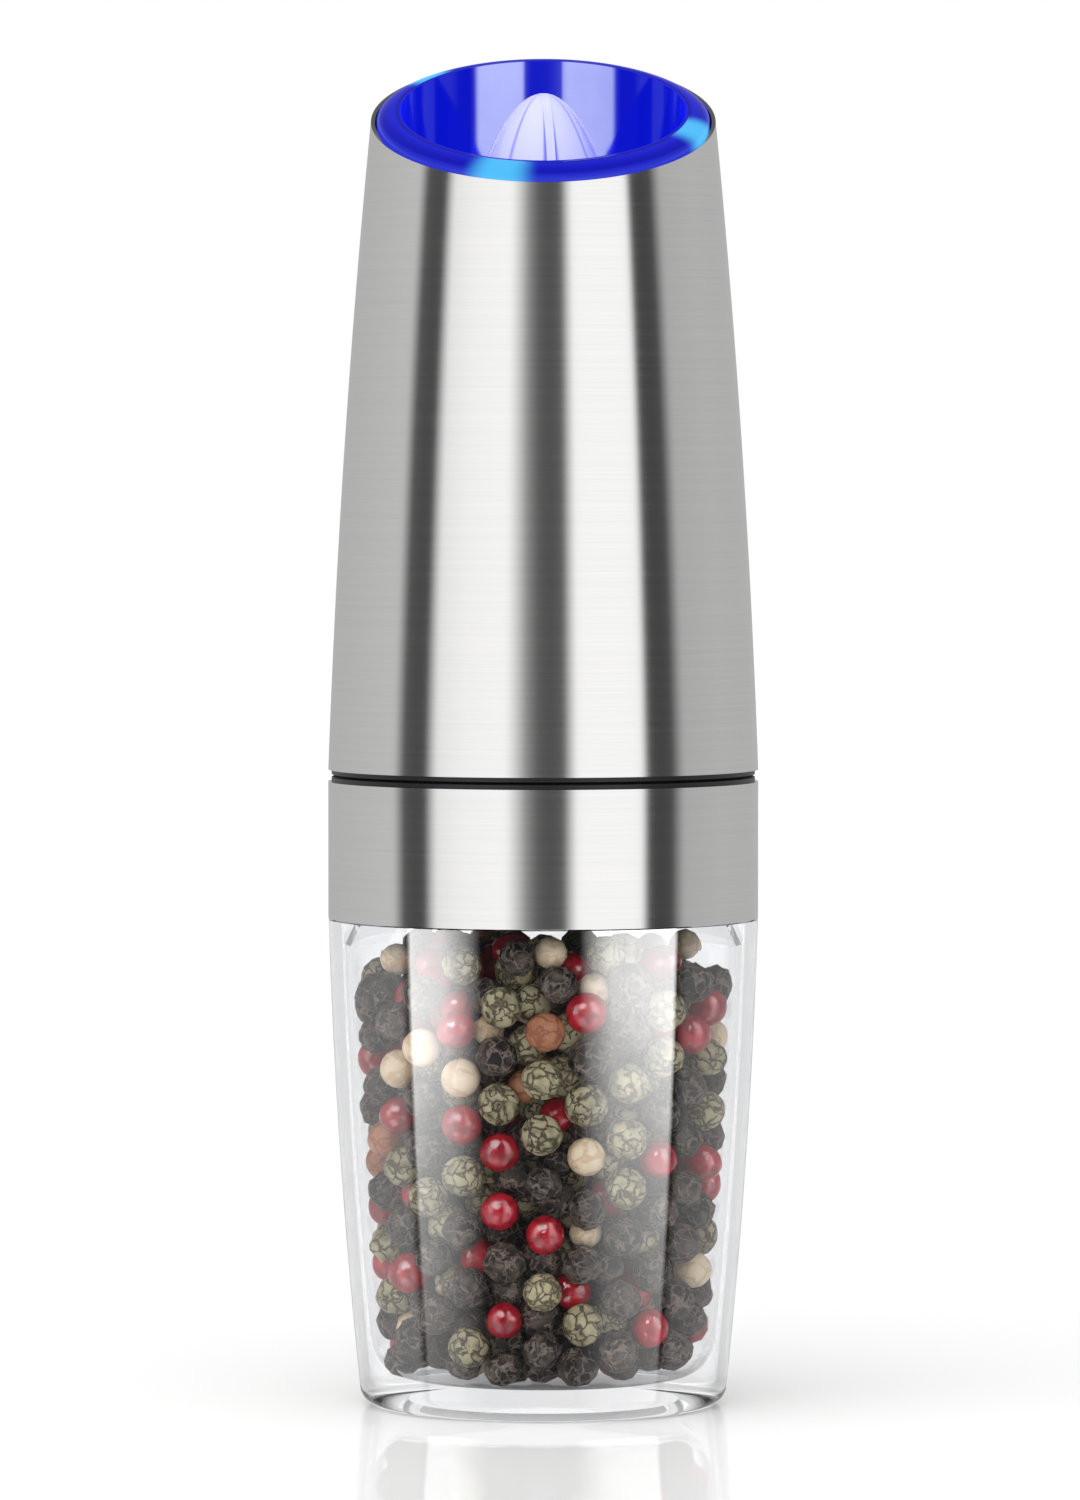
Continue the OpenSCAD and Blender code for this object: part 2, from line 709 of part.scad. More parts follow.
module planet_carrier() {
    color([0.62, 0.55, 0.36]) difference() {
        disc(ring_tip_r - run_gap, carrier_z0, carrier_z1);
        flat_bar(shaft_r + shaft_gap, shaft_flat, carrier_z0 - over, carrier_z1 + over);
        round_row(planet_count) translate([planet_arm, 0, 0])
            disc(pin_r + shaft_gap, carrier_z0 - over, carrier_z1 + over);
    }
}

module planet_pins() {
    color([0.7, 0.7, 0.72]) round_row(planet_count) translate([planet_arm, 0, 0])
        disc(pin_r, carrier_z0 + fit_gap, planet_z1 + pin_end);
}

module planet_gear(index) {
    color([0.85, 0.82, 0.7]) rotate([0, 0, 360 * index / planet_count]) translate([planet_arm, 0, 0])
        rotate([0, 0, planet_phase]) spur_gear(planet_teeth, pin_r + shaft_gap, planet_z0, planet_z1);
}

module planet_gear_1() { planet_gear(0); }
module planet_gear_2() { planet_gear(1); }
module planet_gear_3() { planet_gear(2); }

module ring_gear() {
    z0 = cover_z1;
    z1 = motor_plate_z0;
    color([0.82, 0.8, 0.72]) difference() {
        disc(housing_in - fit_gap, z0, z1);
        translate([0, 0, z0 - over]) rotate([0, 0, ring_phase]) linear_extrude(height = z1 - z0 + 2 * over)
            polygon(gear_outline(ring_teeth, ring_tip_r, ring_pitch_r + dedendum, -gear_play));
    }
}

module gearbox_cover() {
    color([0.16, 0.16, 0.17]) tube(housing_in - fit_gap, bush_r + fit_gap, cover_z0, cover_z1);
}

module shaft_bush() {
    color([0.66, 0.5, 0.28]) tube(bush_r, shaft_r + shaft_gap, cover_z0, cover_z1);
}

module motor_plate() {
    color([0.6, 0.6, 0.62]) difference() {
        disc(housing_in - fit_gap, motor_plate_z0, motor_z0);
        disc(bearing_r + over, motor_plate_z0 - over, motor_z0 + over);
        round_row(2) translate([screw_arm, 0, 0])
            disc(motor_screw_r + fit_gap, motor_plate_z0 - over, motor_z0 + over);
    }
}

module motor_screws() {
    color([0.7, 0.7, 0.72]) round_row(2) translate([screw_arm, 0, 0])
        screw(motor_screw_r, motor_plate_z0, motor_z0 + can_t + motor_screw_end, motor_head_r, motor_head_h);
}

// Motor

module motor_can() {
    color([0.75, 0.75, 0.76]) difference() {
        disc(motor_r, motor_z0, motor_z1);
        disc(can_in, motor_z0 + can_t, motor_z1 + over);
        disc(bearing_r + fit_gap, motor_z0 - over, motor_z1);
        round_row(2) translate([screw_arm, 0, 0])
            disc(motor_screw_r + fit_gap, motor_z0 - over, motor_z0 + 2 * can_t);
    }
}

module motor_end_bell() {
    color([0.9, 0.9, 0.88]) rotate_extrude() polygon([
        [bearing_r + fit_gap, motor_z1 - bell_h], [can_in - fit_gap, motor_z1 - bell_h],
        [can_in - fit_gap, motor_z1], [motor_r - can_t / 2, motor_z1],
        [motor_r - can_t / 2, bell_z1 - can_t], [motor_r - can_t * 1.5, bell_z1],
        [bearing_r + fit_gap, bell_z1],
    ]);
}

module motor_magnets() {
    gap_w = can_in * 0.7;
    color([0.24, 0.24, 0.26]) difference() {
        tube(can_in - fit_gap, magnet_in, stack_z0, stack_z1);
        translate([-gap_w / 2, -motor_r, stack_z0 - over]) cube([gap_w, motor_d, stack_l + 2 * over]);
    }
}

module motor_bearings() {
    color([0.66, 0.5, 0.28]) {
        tube(bearing_r, motor_shaft_r + shaft_gap, motor_z0, motor_z0 + 3 * can_t);
        tube(bearing_r, motor_shaft_r + shaft_gap, motor_z1 - bell_h, bell_z1);
    }
}

module motor_brushes() {
    z0 = comm_z0 + brush_rise;
    color([0.6, 0.45, 0.2]) round_row(2) translate([comm_r + shaft_gap, -brush_w / 2, z0]) union() {
        cube([brush_l, brush_w, brush_w]);
        translate([brush_l, 0, 0]) cube([brush_arm_t, brush_w, motor_z1 - bell_h - fit_gap - z0]);
    }
}

module motor_terminals() {
    color([0.75, 0.7, 0.55]) round_row(2)
        translate([terminal_arm - terminal_w / 2, -terminal_t / 2, bell_z1])
            cube([terminal_w, terminal_t, terminal_h]);
}

module motor_leads() {
    color([0.7, 0.12, 0.1]) round_row(2) translate([terminal_arm, terminal_t / 2 + lead_r + fit_gap, 0])
        disc(lead_r, bell_z1 + terminal_h / 2, board_z0 - fit_gap);
}

module motor_shaft() {
    color([0.7, 0.7, 0.72]) disc(motor_shaft_r, planet_z0, bell_z1 + pin_end);
}

module sun_pinion() {
    color([0.7, 0.56, 0.28]) spur_gear(sun_teeth, motor_shaft_r + shaft_gap, planet_z0, planet_z1 + pin_end);
}

module armature() {
    color([0.5, 0.5, 0.52]) difference() {
        disc(armature_r, stack_z0, stack_z1);
        disc(motor_shaft_r + shaft_gap, stack_z0 - over, stack_z1 + over);
        round_row(slot_count) {
            translate([slot_arm, 0, 0]) disc(slot_r, stack_z0 - over, stack_z1 + over);
            translate([slot_arm, -slot_r / 4, stack_z0 - over])
                cube([armature_r, slot_r / 2, stack_l + 2 * over]);
        }
    }
}

module armature_windings() {
    color([0.72, 0.4, 0.18]) round_row(slot_count) translate([slot_arm, 0, 0])
        disc(slot_r - fit_gap, stack_z0 - comm_gap / 2, stack_z1 + comm_gap / 2);
}

module commutator() {
    color([0.72, 0.45, 0.2]) difference() {
        disc(comm_r, comm_z0, comm_z0 + comm_h);
        disc(motor_shaft_r + shaft_gap, comm_z0 - over, comm_z0 + comm_h + over);
    }
}

module motor_housing() {
    web_out = tube_in - fit_gap;
    color([0.12, 0.12, 0.13]) union() {
        tube(housing_out, housing_in, cover_z0, cone_z0);
        tube(housing_in + motor_wall / 2, housing_in - ledge, board_z0 - ledge, board_z0);
        round_row(web_count, web_turn) translate([housing_out - motor_wall / 2, -web_t / 2, web_z0])
            cube([web_out - housing_out + motor_wall / 2, web_t, web_z1 - web_z0]);
    }
}

// Battery cage

module battery_cage() {
    ledge_in = (housing_out + tube_in) / 2;
    wall_out = cell_ring + cell_r * 0.6;
    color([0.15, 0.15, 0.16]) difference() {
        union() {
            rotate_extrude() polygon([
                [cage_r - skirt_t, band_z1], [cage_r, band_z1], [cage_r, plate_z1], [tube_out, plate_z1],
                [tube_out, flange_z0], [flange_r, flange_z0], [flange_r, flange_z1], [tube_in, flange_z1],
                [tube_in, plate_z1], [plate_in, plate_z1], [plate_in, plate_z0], [cage_r - skirt_t, plate_z0],
            ]);
            // Walls between the cells
            round_row(cell_count, bay_angle / 2)
                translate([tube_out - tube_t / 2, -web_t / 2, plate_z1 - over])
                cube([wall_out - tube_out + tube_t / 2, web_t, bay_h + 2 * over]);
            round_row(screw_count, bay_angle / 2) {
                translate([housing_screw_arm, 0, 0]) disc(boss_r, band_z1, plate_z0 + over);
                translate([funnel_screw_arm, 0, 0])
                    disc(screw_r + 2 * boss_wall, flange_z0 - funnel_screw_boss, flange_z0 + over);
            }
            // Ledges under the webs of the motor housing
            round_row(web_count, web_turn) translate([ledge_in, -web_t / 2, web_z0 - 2 * ledge])
                cube([tube_in + tube_t / 2 - ledge_in, web_t, 2 * ledge]);
        }
        round_row(screw_count, bay_angle / 2) {
            translate([housing_screw_arm, 0, 0]) disc(screw_r + fit_gap, band_z1 - over, plate_z0);
            translate([funnel_screw_arm, 0, 0])
                disc(screw_r + fit_gap, flange_z0 - funnel_screw_boss + over, flange_z1 + over);
        }
    }
}

// One bay with its cell upright or turned over, about the middle of the bay
module bay(index) {
    mid = (plate_z1 + flange_z0) / 2;
    rotate([0, 0, bay_angle * index]) translate([cell_ring, 0, mid])
        rotate([index % 2 * 180, 0, 0]) translate([0, 0, -bay_h / 2]) children();
}

module battery_cells() {
    nub_r = 1.9;
    nub_h = 0.8;
    edge = 0.4;
    z0 = plate_t + cell_spring_h;
    top = z0 + cell_l - nub_h;
    color([0.2, 0.24, 0.28]) for (i = [0:cell_count - 1]) bay(i) rotate_extrude() polygon([
        [0, z0], [cell_r - edge, z0], [cell_r, z0 + edge],
        [cell_r, top - edge], [cell_r - edge, top],
        [nub_r, top], [nub_r, top + nub_h], [0, top + nub_h],
    ]);
}

cell_coil_low = plate_t + shaft_gap + cell_wire / 2;
cell_coil_high = plate_t + cell_spring_h - shaft_gap - cell_wire / 2;
// The contact spring is wide at its plate and narrow at the cell
cell_coil_r0 = cell_r - 2 * cell_wire;
cell_coil_r1 = cell_r / 2;

module battery_springs() {
    echo(battery_spring_gap =
        coil_gap(cell_coil_r0, cell_coil_r1, cell_coil_low, cell_coil_high, cell_turns, cell_wire));
    color([0.78, 0.78, 0.8]) for (i = [0:cell_count - 1]) bay(i)
        coil(cell_coil_r0, cell_coil_r1, cell_coil_low, cell_coil_high, cell_turns, cell_wire);
}

module contact_plates() {
    side = cell_d * 0.74;
    color([0.8, 0.8, 0.82]) for (i = [0:cell_count - 1], z = [0, bay_h - plate_t]) bay(i)
        translate([-side / 2, -side / 2, z]) cube([side, side, plate_t]);
}

// Electronics

module control_board() {
    color([0.1, 0.34, 0.2]) disc(housing_in - fit_gap, board_z0, board_z1);
}

// Chips on the board: place and size
chips = [[-6.5, -3, 5, 6, 1.6], [-1, 4, 4, 3, 1.4]];
capacitor_at = [0, -6, 0];
capacitor_r = 2.2;
capacitor_h = 6;

module board_parts() {
    color([0.08, 0.08, 0.09]) {
        for (c = chips) translate([c[0], c[1], board_z1]) cube([c[2], c[3], c[4]]);
        translate(capacitor_at) disc(capacitor_r, board_z1, board_z1 + capacitor_h);
    }
}

ball_r = ball_d / 2;
switch_wall = run_gap;
switch_x = housing_in / 2;

module tilt_switch() {
    cavity = ball_d + ball_travel + 3 * run_gap;
    color([0.78, 0.78, 0.8]) translate([switch_x, 0, 0]) difference() {
        disc(ball_r + run_gap + switch_wall, board_z1, board_z1 + cavity + switch_wall);
        disc(ball_r + run_gap, board_z1 - over, board_z1 + cavity);
    }
}

module tilt_ball() {
    color([0.8, 0.66, 0.3]) translate([switch_x, 0, board_z1 + run_gap + ball_r]) sphere(r = ball_r);
}

// Mouth

module outlet_funnel() {
    color([0.75, 0.8, 0.95, 0.5]) difference() {
        rotate_extrude() polygon([
            [tube_in, flange_z1], [funnel_flange_r, flange_z1], [funnel_flange_r, flange_z1 + funnel_foot],
            [tube_in + 1.4 * funnel_wall, flange_z1 + funnel_foot], [funnel_out, knee_z - funnel_wall],
            [funnel_out, mill_h], [bore_r, mill_h], [bore_r, knee_z],
        ]);
        difference() {
            mouth_slab(-lip_depth - shaft_gap, span);
            disc(bore_r + rim_t, knee_z, mill_h + span);
        }
        mouth_slab(lip_proud, span);
        round_row(screw_count, bay_angle / 2) translate([funnel_screw_arm, 0, 0])
            disc(screw_r + fit_gap, flange_z1 - over, flange_z1 + funnel_foot + over);
    }
}

module funnel_screws() {
    seat = flange_z1 + funnel_foot;
    length = seat - flange_z0 + funnel_screw_boss - funnel_screw_end;
    color([0.7, 0.7, 0.72]) round_row(screw_count, bay_angle / 2) translate([funnel_screw_arm, 0, seat])
        mirror([0, 0, 1]) screw(screw_r, 0, length, head_r, screw_head_h);
}

module led_strip() {
    color([0.92, 0.92, 0.9]) intersection() {
        tube(strip_out, funnel_out + fit_gap, flange_z1 + funnel_foot, mill_h);
        mouth_slab(-lip_depth - run_gap - led_h - strip_h, -lip_depth - run_gap - led_h);
    }
}

module led_chips() {
    for (a = led_angles) color([0.75, 0.85, 1])
        translate([0, 0, cut_z + strip_out * sin(a) * tan(mouth_slant)])
            rotate([0, 0, a]) translate([strip_out + shaft_gap, -led_w / 2, 0])
                translate([0, 0, (-lip_depth - run_gap - led_h - strip_h / 2) / cos(mouth_slant)])
                    cube([led_t, led_w, led_h]);
}

// Radii of the lit ring where the slanted mouth meets the sleeve, found by stepping to the crossing
function mouth_z(r, a, n) = cut_z + r * sin(a) * tan(mouth_slant) + n / cos(mouth_slant);
function meet(a, r, left) =
    left == 0 ? r : meet(a, sleeve_in(mouth_z(r, a, 0)) - run_gap, left - 1);
function lip_section(a) =
    let (
        r1 = meet(a, mouth_r, 6),
        r0 = bore_r + rim_t + shaft_gap
    )
    concat(
        [[r0, -lip_depth], [r1, -lip_depth]],
        [for (i = [0:lip_n]) [r0 + (r1 - r0) * cos(90 * i / lip_n), lip_proud * sin(90 * i / lip_n)]]
    );

module light_ring() {
    m = lip_n + 3;
    points = [for (i = [0:ring_n - 1])
        let (a = 360 * i / ring_n)
        for (p = lip_section(a)) [p.x * cos(a), p.x * sin(a), mouth_z(p.x, a, p.y)]];
    faces = [for (i = [0:ring_n - 1], j = [0:m - 1])
        let (
            a = i * m + j,
            b = i * m + (j + 1) % m,
            c = (i + 1) % ring_n * m + (j + 1) % m,
            d = (i + 1) % ring_n * m + j
        )
        each [[a, b, c], [a, c, d]]];
    color([0.2, 0.32, 0.95]) polyhedron(points, faces, convexity = 6);
}

function cone_outline(r, z1, h, n) = [for (t = steps(0, 1, n)) [r * t, z1 - h * t * t]];

module discharge_cone() {
    cone_n = 14;
    inner_r = housing_out - cone_wall;
    skin = cone_wall / 2;
    color([0.78, 0.8, 0.95, 0.7]) union() {
        difference() {
            rotate_extrude() polygon(concat(
                [[0, cone_z0], [0, cone_z1]], cone_outline(housing_out, cone_z1, cone_h, cone_n)));
            rotate_extrude() polygon(concat(
                [[0, cone_z0 - over], [0, cone_z1 - cone_wall]],
                cone_outline(inner_r, cone_z1 - cone_wall, cone_h - cone_wall, cone_n),
                [[inner_r, cone_z0 - over]]));
        }
        // Ribs from the tip to the foot
        intersection() {
            difference() {
                rotate_extrude() polygon(concat(
                    [[0, cone_z0], [0, cone_z1]],
                    cone_outline(housing_out + rib_out, cone_z1, cone_h, cone_n)));
                rotate_extrude() polygon(concat(
                    [[0, cone_z0 - over], [0, cone_z1 - skin]],
                    cone_outline(housing_out - skin, cone_z1 - skin, cone_h - skin, cone_n),
                    [[housing_out - skin, cone_z0 - over]]));
            }
            round_row(rib_count, rib_turn - 90)
                translate([0, -rib_t / 2, cone_z0]) cube([mill_r, rib_t, cone_h]);
        }
    }
}

// Sleeve and seam

tab_count = 3;
tab_w = 8;
tab_h = 3;

module lock_ring() {
    seam_r = mill_r - seam_recess;
    ring_in = cage_r + run_gap;
    groove = seam_h / 8;
    mid = (band_z1 + sleeve_z0) / 2;
    color([0.05, 0.05, 0.055]) union() {
        rotate_extrude() polygon([
            [ring_in, band_z1], [seam_r, band_z1], [seam_r, mid - groove], [seam_r - 2 * groove, mid],
            [seam_r, mid + groove], [seam_r, sleeve_z0], [ring_in, sleeve_z0],
        ]);
        // Tabs that key the sleeve's collar to the ring
        round_row(tab_count) translate([collar_in + run_gap, -tab_w / 2, sleeve_z0 - seam_h / 2])
            cube([collar_t - 2 * run_gap, tab_w, tab_h + seam_h / 2]);
    }
}

module steel_sleeve() {
    outer = [for (z = steps(sleeve_z0, mill_h, side_n)) [sleeve_r(z), z]];
    inner = [for (z = steps(mill_h, sleeve_z0, side_n)) [sleeve_in(z), z]];
    color([0.76, 0.76, 0.76]) difference() {
        rotate_extrude() polygon(concat(
            [[mill_r, sleeve_z0]], outer, [[sleeve_in(mill_h), mill_h]], inner));
        mouth_slab(0, span);
    }
}

module sleeve_collar() {
    color([0.1, 0.1, 0.11]) difference() {
        tube(collar_out, collar_in, sleeve_z0, collar_z1);
        round_row(tab_count) translate([collar_in - over, -tab_w / 2 - run_gap, sleeve_z0 - over])
            cube([collar_t + 2 * over, tab_w + 2 * run_gap, tab_h + run_gap + over]);
    }
}

pepper_jar();
peppercorn_fill();
jar_seal();
steel_band();
grinder_housing();
burr_stator();
housing_screws();
burr_rotor();
rotor_spring();
grind_knob();
drive_shaft();
planet_carrier();
planet_pins();
planet_gear_1();
planet_gear_2();
planet_gear_3();
ring_gear();
gearbox_cover();
shaft_bush();
motor_plate();
motor_screws();
motor_can();
motor_end_bell();
motor_magnets();
motor_bearings();
motor_brushes();
motor_terminals();
motor_leads();
motor_shaft();
sun_pinion();
armature();
armature_windings();
commutator();
motor_housing();
battery_cage();
battery_cells();
battery_springs();
contact_plates();
control_board();
board_parts();
tilt_switch();
tilt_ball();
outlet_funnel();
funnel_screws();
led_strip();
led_chips();
light_ring();
discharge_cone();
lock_ring();
steel_sleeve();
sleeve_collar();
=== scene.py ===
import json
import math

import bmesh
import bpy
import numpy as np
from mathutils import Matrix, Vector


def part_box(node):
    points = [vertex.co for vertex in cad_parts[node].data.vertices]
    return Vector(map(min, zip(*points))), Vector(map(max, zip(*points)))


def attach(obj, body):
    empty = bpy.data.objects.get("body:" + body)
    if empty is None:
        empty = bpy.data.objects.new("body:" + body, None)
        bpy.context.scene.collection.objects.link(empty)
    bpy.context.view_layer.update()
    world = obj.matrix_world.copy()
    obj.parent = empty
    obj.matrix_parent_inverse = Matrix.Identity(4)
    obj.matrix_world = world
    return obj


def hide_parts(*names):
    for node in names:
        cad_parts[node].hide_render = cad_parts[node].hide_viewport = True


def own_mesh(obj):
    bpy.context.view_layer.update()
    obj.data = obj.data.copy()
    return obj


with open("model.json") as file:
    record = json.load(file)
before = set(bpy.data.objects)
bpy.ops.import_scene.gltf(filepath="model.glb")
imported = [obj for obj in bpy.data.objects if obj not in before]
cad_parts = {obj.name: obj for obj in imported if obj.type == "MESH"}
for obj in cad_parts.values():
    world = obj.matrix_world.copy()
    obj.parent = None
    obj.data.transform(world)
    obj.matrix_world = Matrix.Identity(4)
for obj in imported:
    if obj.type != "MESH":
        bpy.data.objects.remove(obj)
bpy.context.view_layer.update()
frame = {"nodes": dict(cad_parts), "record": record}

print("frame loaded:", len(frame["nodes"]), "nodes")

mm = 0.001


def srgb(red, green, blue):  # a picture colour, 0 to 255, as linear light
    shares = [c / 255 for c in (red, green, blue)]
    return tuple(c / 12.92 if c < 0.04 else ((c + 0.055) / 1.055) ** 2.4 for c in shares) + (1.0,)


def grey(level):
    return (level, level, level, 1)


# Short ways to set up shader nodes


def setSocket(tree, socket, value):  # value is another socket or a constant
    if isinstance(value, bpy.types.NodeSocket):
        tree.links.new(value, socket)
    else:
        socket.default_value = value


def addNode(tree, kind, inputs=None, **settings):
    made = tree.nodes.new(kind)
    for name, value in settings.items():
        setattr(made, name, value)
    for name, value in (inputs or {}).items():
        setSocket(tree, made.inputs[name], value)
    return made


def addMath(tree, operation, *values):
    return addNode(tree, "ShaderNodeMath", dict(enumerate(values)), operation=operation).outputs[0]


def addVector(tree, operation, *values):
    made = addNode(tree, "ShaderNodeVectorMath", dict(enumerate(values)), operation=operation)
    return made.outputs["Value" if operation == "DOT_PRODUCT" else "Vector"]


def scaleVector(tree, vector, factor):
    made = addNode(tree, "ShaderNodeVectorMath", {0: vector, 3: factor}, operation="SCALE")
    return made.outputs["Vector"]


def addRange(tree, value, low, high, toLow, toHigh, smooth=False):
    entries = dict(enumerate((value, low, high, toLow, toHigh)))
    style = "SMOOTHSTEP" if smooth else "LINEAR"
    return addNode(tree, "ShaderNodeMapRange", entries, interpolation_type=style).outputs[0]


def addMix(tree, factor, first, second):  # two colours
    made = addNode(tree, "ShaderNodeMix", data_type="RGBA")
    for place, entry in ((0, factor), (6, first), (7, second)):
        setSocket(tree, made.inputs[place], entry)
    return made.outputs[2]


def addRamp(tree, value, stops):
    made = addNode(tree, "ShaderNodeValToRGB", {"Fac": value})
    elements = made.color_ramp.elements
    while len(elements) < len(stops):
        elements.new(0.5)
    for element, (place, level) in zip(elements, stops):
        element.position = place
        element.color = grey(level)
    return made.outputs["Color"]


def addAttribute(tree, name):
    return addNode(tree, "ShaderNodeAttribute", attribute_name=name).outputs["Fac"]


def newGroup(name, inputs, outputs):
    tree = bpy.data.node_groups.new(name, "ShaderNodeTree")
    for label, kind, value in inputs:
        socket = tree.interface.new_socket(label, in_out="INPUT", socket_type="NodeSocket" + kind)
        socket.default_value = value
    for label, kind in outputs:
        tree.interface.new_socket(label, in_out="OUTPUT", socket_type="NodeSocket" + kind)
    return tree, tree.nodes.new("NodeGroupInput").outputs, tree.nodes.new("NodeGroupOutput")


def objectPlace(tree):
    return addNode(tree, "ShaderNodeTexCoord").outputs["Object"]


def newMaterial(name, **sockets):
    material = bpy.data.materials.new(name)
    material.use_nodes = True
    tree = material.node_tree
    shader = tree.nodes["Principled BSDF"]
    for label, value in sockets.items():
        shader.inputs[label.replace("_", " ")].default_value = value
    return material, tree, shader


def addBump(tree, shader, height, strength, distance, invert=False):
    levels = {"Height": height, "Strength": strength, "Distance": distance}
    bump = addNode(tree, "ShaderNodeBump", levels, invert=invert)
    tree.links.new(bump.outputs["Normal"], shader.inputs["Normal"])


noiseSpan = (0.3, 0.7)  # nearly all values of a noise texture lie between these
bumpDepth = dict(mottle=0.0001, brushing=0.00002, berry=0.0004)

# Cloudy change of colour and gloss, for moulded, cast and plated pieces
cloudNoise = dict(Detail=4.0, Roughness=0.6)
mottle, mottleIn, mottleOut = newGroup(
    "mottle",
    [("Dark", "Color", (0, 0, 0, 1)), ("Light", "Color", (1, 1, 1, 1)), ("Scale", "Float", 500.0),
     ("Rough Low", "Float", 0.3), ("Rough High", "Float", 0.5)],
    [("Color", "Color"), ("Roughness", "Float"), ("Height", "Float")],
)
cloud = addNode(mottle, "ShaderNodeTexNoise",
                {"Vector": objectPlace(mottle), "Scale": mottleIn["Scale"], **cloudNoise}).outputs["Fac"]
cloudShare = addRange(mottle, cloud, *noiseSpan, 0.0, 1.0)
mottle.links.new(addMix(mottle, cloudShare, mottleIn["Dark"], mottleIn["Light"]), mottleOut.inputs["Color"])
mottle.links.new(addRange(mottle, cloudShare, 0.0, 1.0, mottleIn["Rough Low"], mottleIn["Rough High"]),
                 mottleOut.inputs["Roughness"])
mottle.links.new(cloud, mottleOut.inputs["Height"])

# Fine lines that run round the axis, for brushed, ground and machined metal
lineNoise = dict(Scale=1.0, Detail=3.0, Roughness=0.7)
brushing, brushingIn, brushingOut = newGroup(
    "brushing",
    [("Dark", "Color", (0, 0, 0, 1)), ("Light", "Color", (1, 1, 1, 1)), ("Fineness", "Float", 3000.0),
     ("Length", "Float", 25.0), ("Rough Low", "Float", 0.2), ("Rough High", "Float", 0.3)],
    [("Color", "Color"), ("Roughness", "Float"), ("Height", "Float")],
)
brushPlace = addNode(brushing, "ShaderNodeSeparateXYZ", {"Vector": objectPlace(brushing)}).outputs
brushGrid = addNode(brushing, "ShaderNodeCombineXYZ", {
    "X": addMath(brushing, "MULTIPLY", brushPlace["X"], brushingIn["Length"]),
    "Y": addMath(brushing, "MULTIPLY", brushPlace["Y"], brushingIn["Length"]),
    "Z": addMath(brushing, "MULTIPLY", brushPlace["Z"], brushingIn["Fineness"])}).outputs[0]
brushLines = addNode(brushing, "ShaderNodeTexNoise", {"Vector": brushGrid, **lineNoise}).outputs["Fac"]
brushShare = addRange(brushing, brushLines, *noiseSpan, 0.0, 1.0)
brushing.links.new(addMix(brushing, brushShare, brushingIn["Dark"], brushingIn["Light"]),
                   brushingOut.inputs["Color"])
brushRough = addRange(brushing, brushShare, 0.0, 1.0, brushingIn["Rough Low"], brushingIn["Rough High"])
brushing.links.new(brushRough, brushingOut.inputs["Roughness"])
brushing.links.new(brushLines, brushingOut.inputs["Height"])

# Veins and folds of a dried berry: partly their own tone and partly painted light, as painted shade in the
# recessed creases of most kinds and a painted highlight on the raised ridges of black ones; the tone
# attribute shifts each berry a little
bendNoise = dict(Scale=520.0, Detail=3.0)
veinAndPaintedLight = dict(bend=0.0034, width=(0.02, 0.3))
wrinkle, wrinkleIn, wrinkleOut = newGroup(
    "wrinkle",
    [("Body", "Color", (0, 0, 0, 1)), ("Vein And Painted Light", "Color", (1, 1, 1, 1)), ("Scale", "Float", 700.0),
     ("Blotch", "Float", 0.3), ("Fold", "Float", 0.5)],
    [("Color", "Color"), ("Height", "Float")],
)
berryPlace = objectPlace(wrinkle)
berryBend = addNode(wrinkle, "ShaderNodeTexNoise", {"Vector": berryPlace, **bendNoise}).outputs
berryWarp = scaleVector(wrinkle, berryBend["Color"], veinAndPaintedLight["bend"])
berryShift = addVector(wrinkle, "ADD", berryPlace, berryWarp)
berryCells = addNode(wrinkle, "ShaderNodeTexVoronoi", {"Vector": berryShift, "Scale": wrinkleIn["Scale"]},
                     feature="DISTANCE_TO_EDGE")
berryWidth = addRange(wrinkle, berryBend["Fac"], *noiseSpan, *veinAndPaintedLight["width"])
berryRidge = addRange(wrinkle, berryCells.outputs["Distance"], 0.0, berryWidth, 1.0, 0.0, smooth=True)
berryTone = addMath(wrinkle, "SUBTRACT", addAttribute(wrinkle, "tone"), 0.5)
berryBlotch = addMath(wrinkle, "MULTIPLY", berryTone, wrinkleIn["Blotch"])
berryFold = addMath(wrinkle, "MULTIPLY", addAttribute(wrinkle, "fold"), wrinkleIn["Fold"])
berryShare = addMath(wrinkle, "ADD", addMath(wrinkle, "MAXIMUM", berryRidge, berryFold), berryBlotch)
berryShare.node.use_clamp = True
wrinkle.links.new(addMix(wrinkle, berryShare, wrinkleIn["Body"], wrinkleIn["Vein And Painted Light"]),
                  wrinkleOut.inputs["Color"])
wrinkle.links.new(berryRidge, wrinkleOut.inputs["Height"])
print("shared finishes made")


def mottledFinish(name, dark, light, scale, rough, bump=0.0, **sockets):
    material, tree, shader = newMaterial(name, **sockets)
    effect = addNode(tree, "ShaderNodeGroup", {
        "Dark": dark, "Light": light, "Scale": scale, "Rough Low": rough[0], "Rough High": rough[1],
    }, node_tree=mottle)
    tree.links.new(effect.outputs["Color"], shader.inputs["Base Color"])
    tree.links.new(effect.outputs["Roughness"], shader.inputs["Roughness"])
    if bump:
        addBump(tree, shader, effect.outputs["Height"], bump, bumpDepth["mottle"])
    return material


def brushedFinish(name, dark, light, fineness, length, rough, bump=0.0, **sockets):
    material, tree, shader = newMaterial(name, Metallic=1.0, **sockets)
    effect = addNode(tree, "ShaderNodeGroup", {
        "Dark": dark, "Light": light, "Fineness": fineness, "Length": length,
        "Rough Low": rough[0], "Rough High": rough[1],
    }, node_tree=brushing)
    tree.links.new(effect.outputs["Color"], shader.inputs["Base Color"])
    tree.links.new(effect.outputs["Roughness"], shader.inputs["Roughness"])
    if bump:
        addBump(tree, shader, effect.outputs["Height"], bump, bumpDepth["brushing"])
    return material


# Turned shapes and finished pieces

weld = dict(doubles=1e-7, degenerate=1e-8)


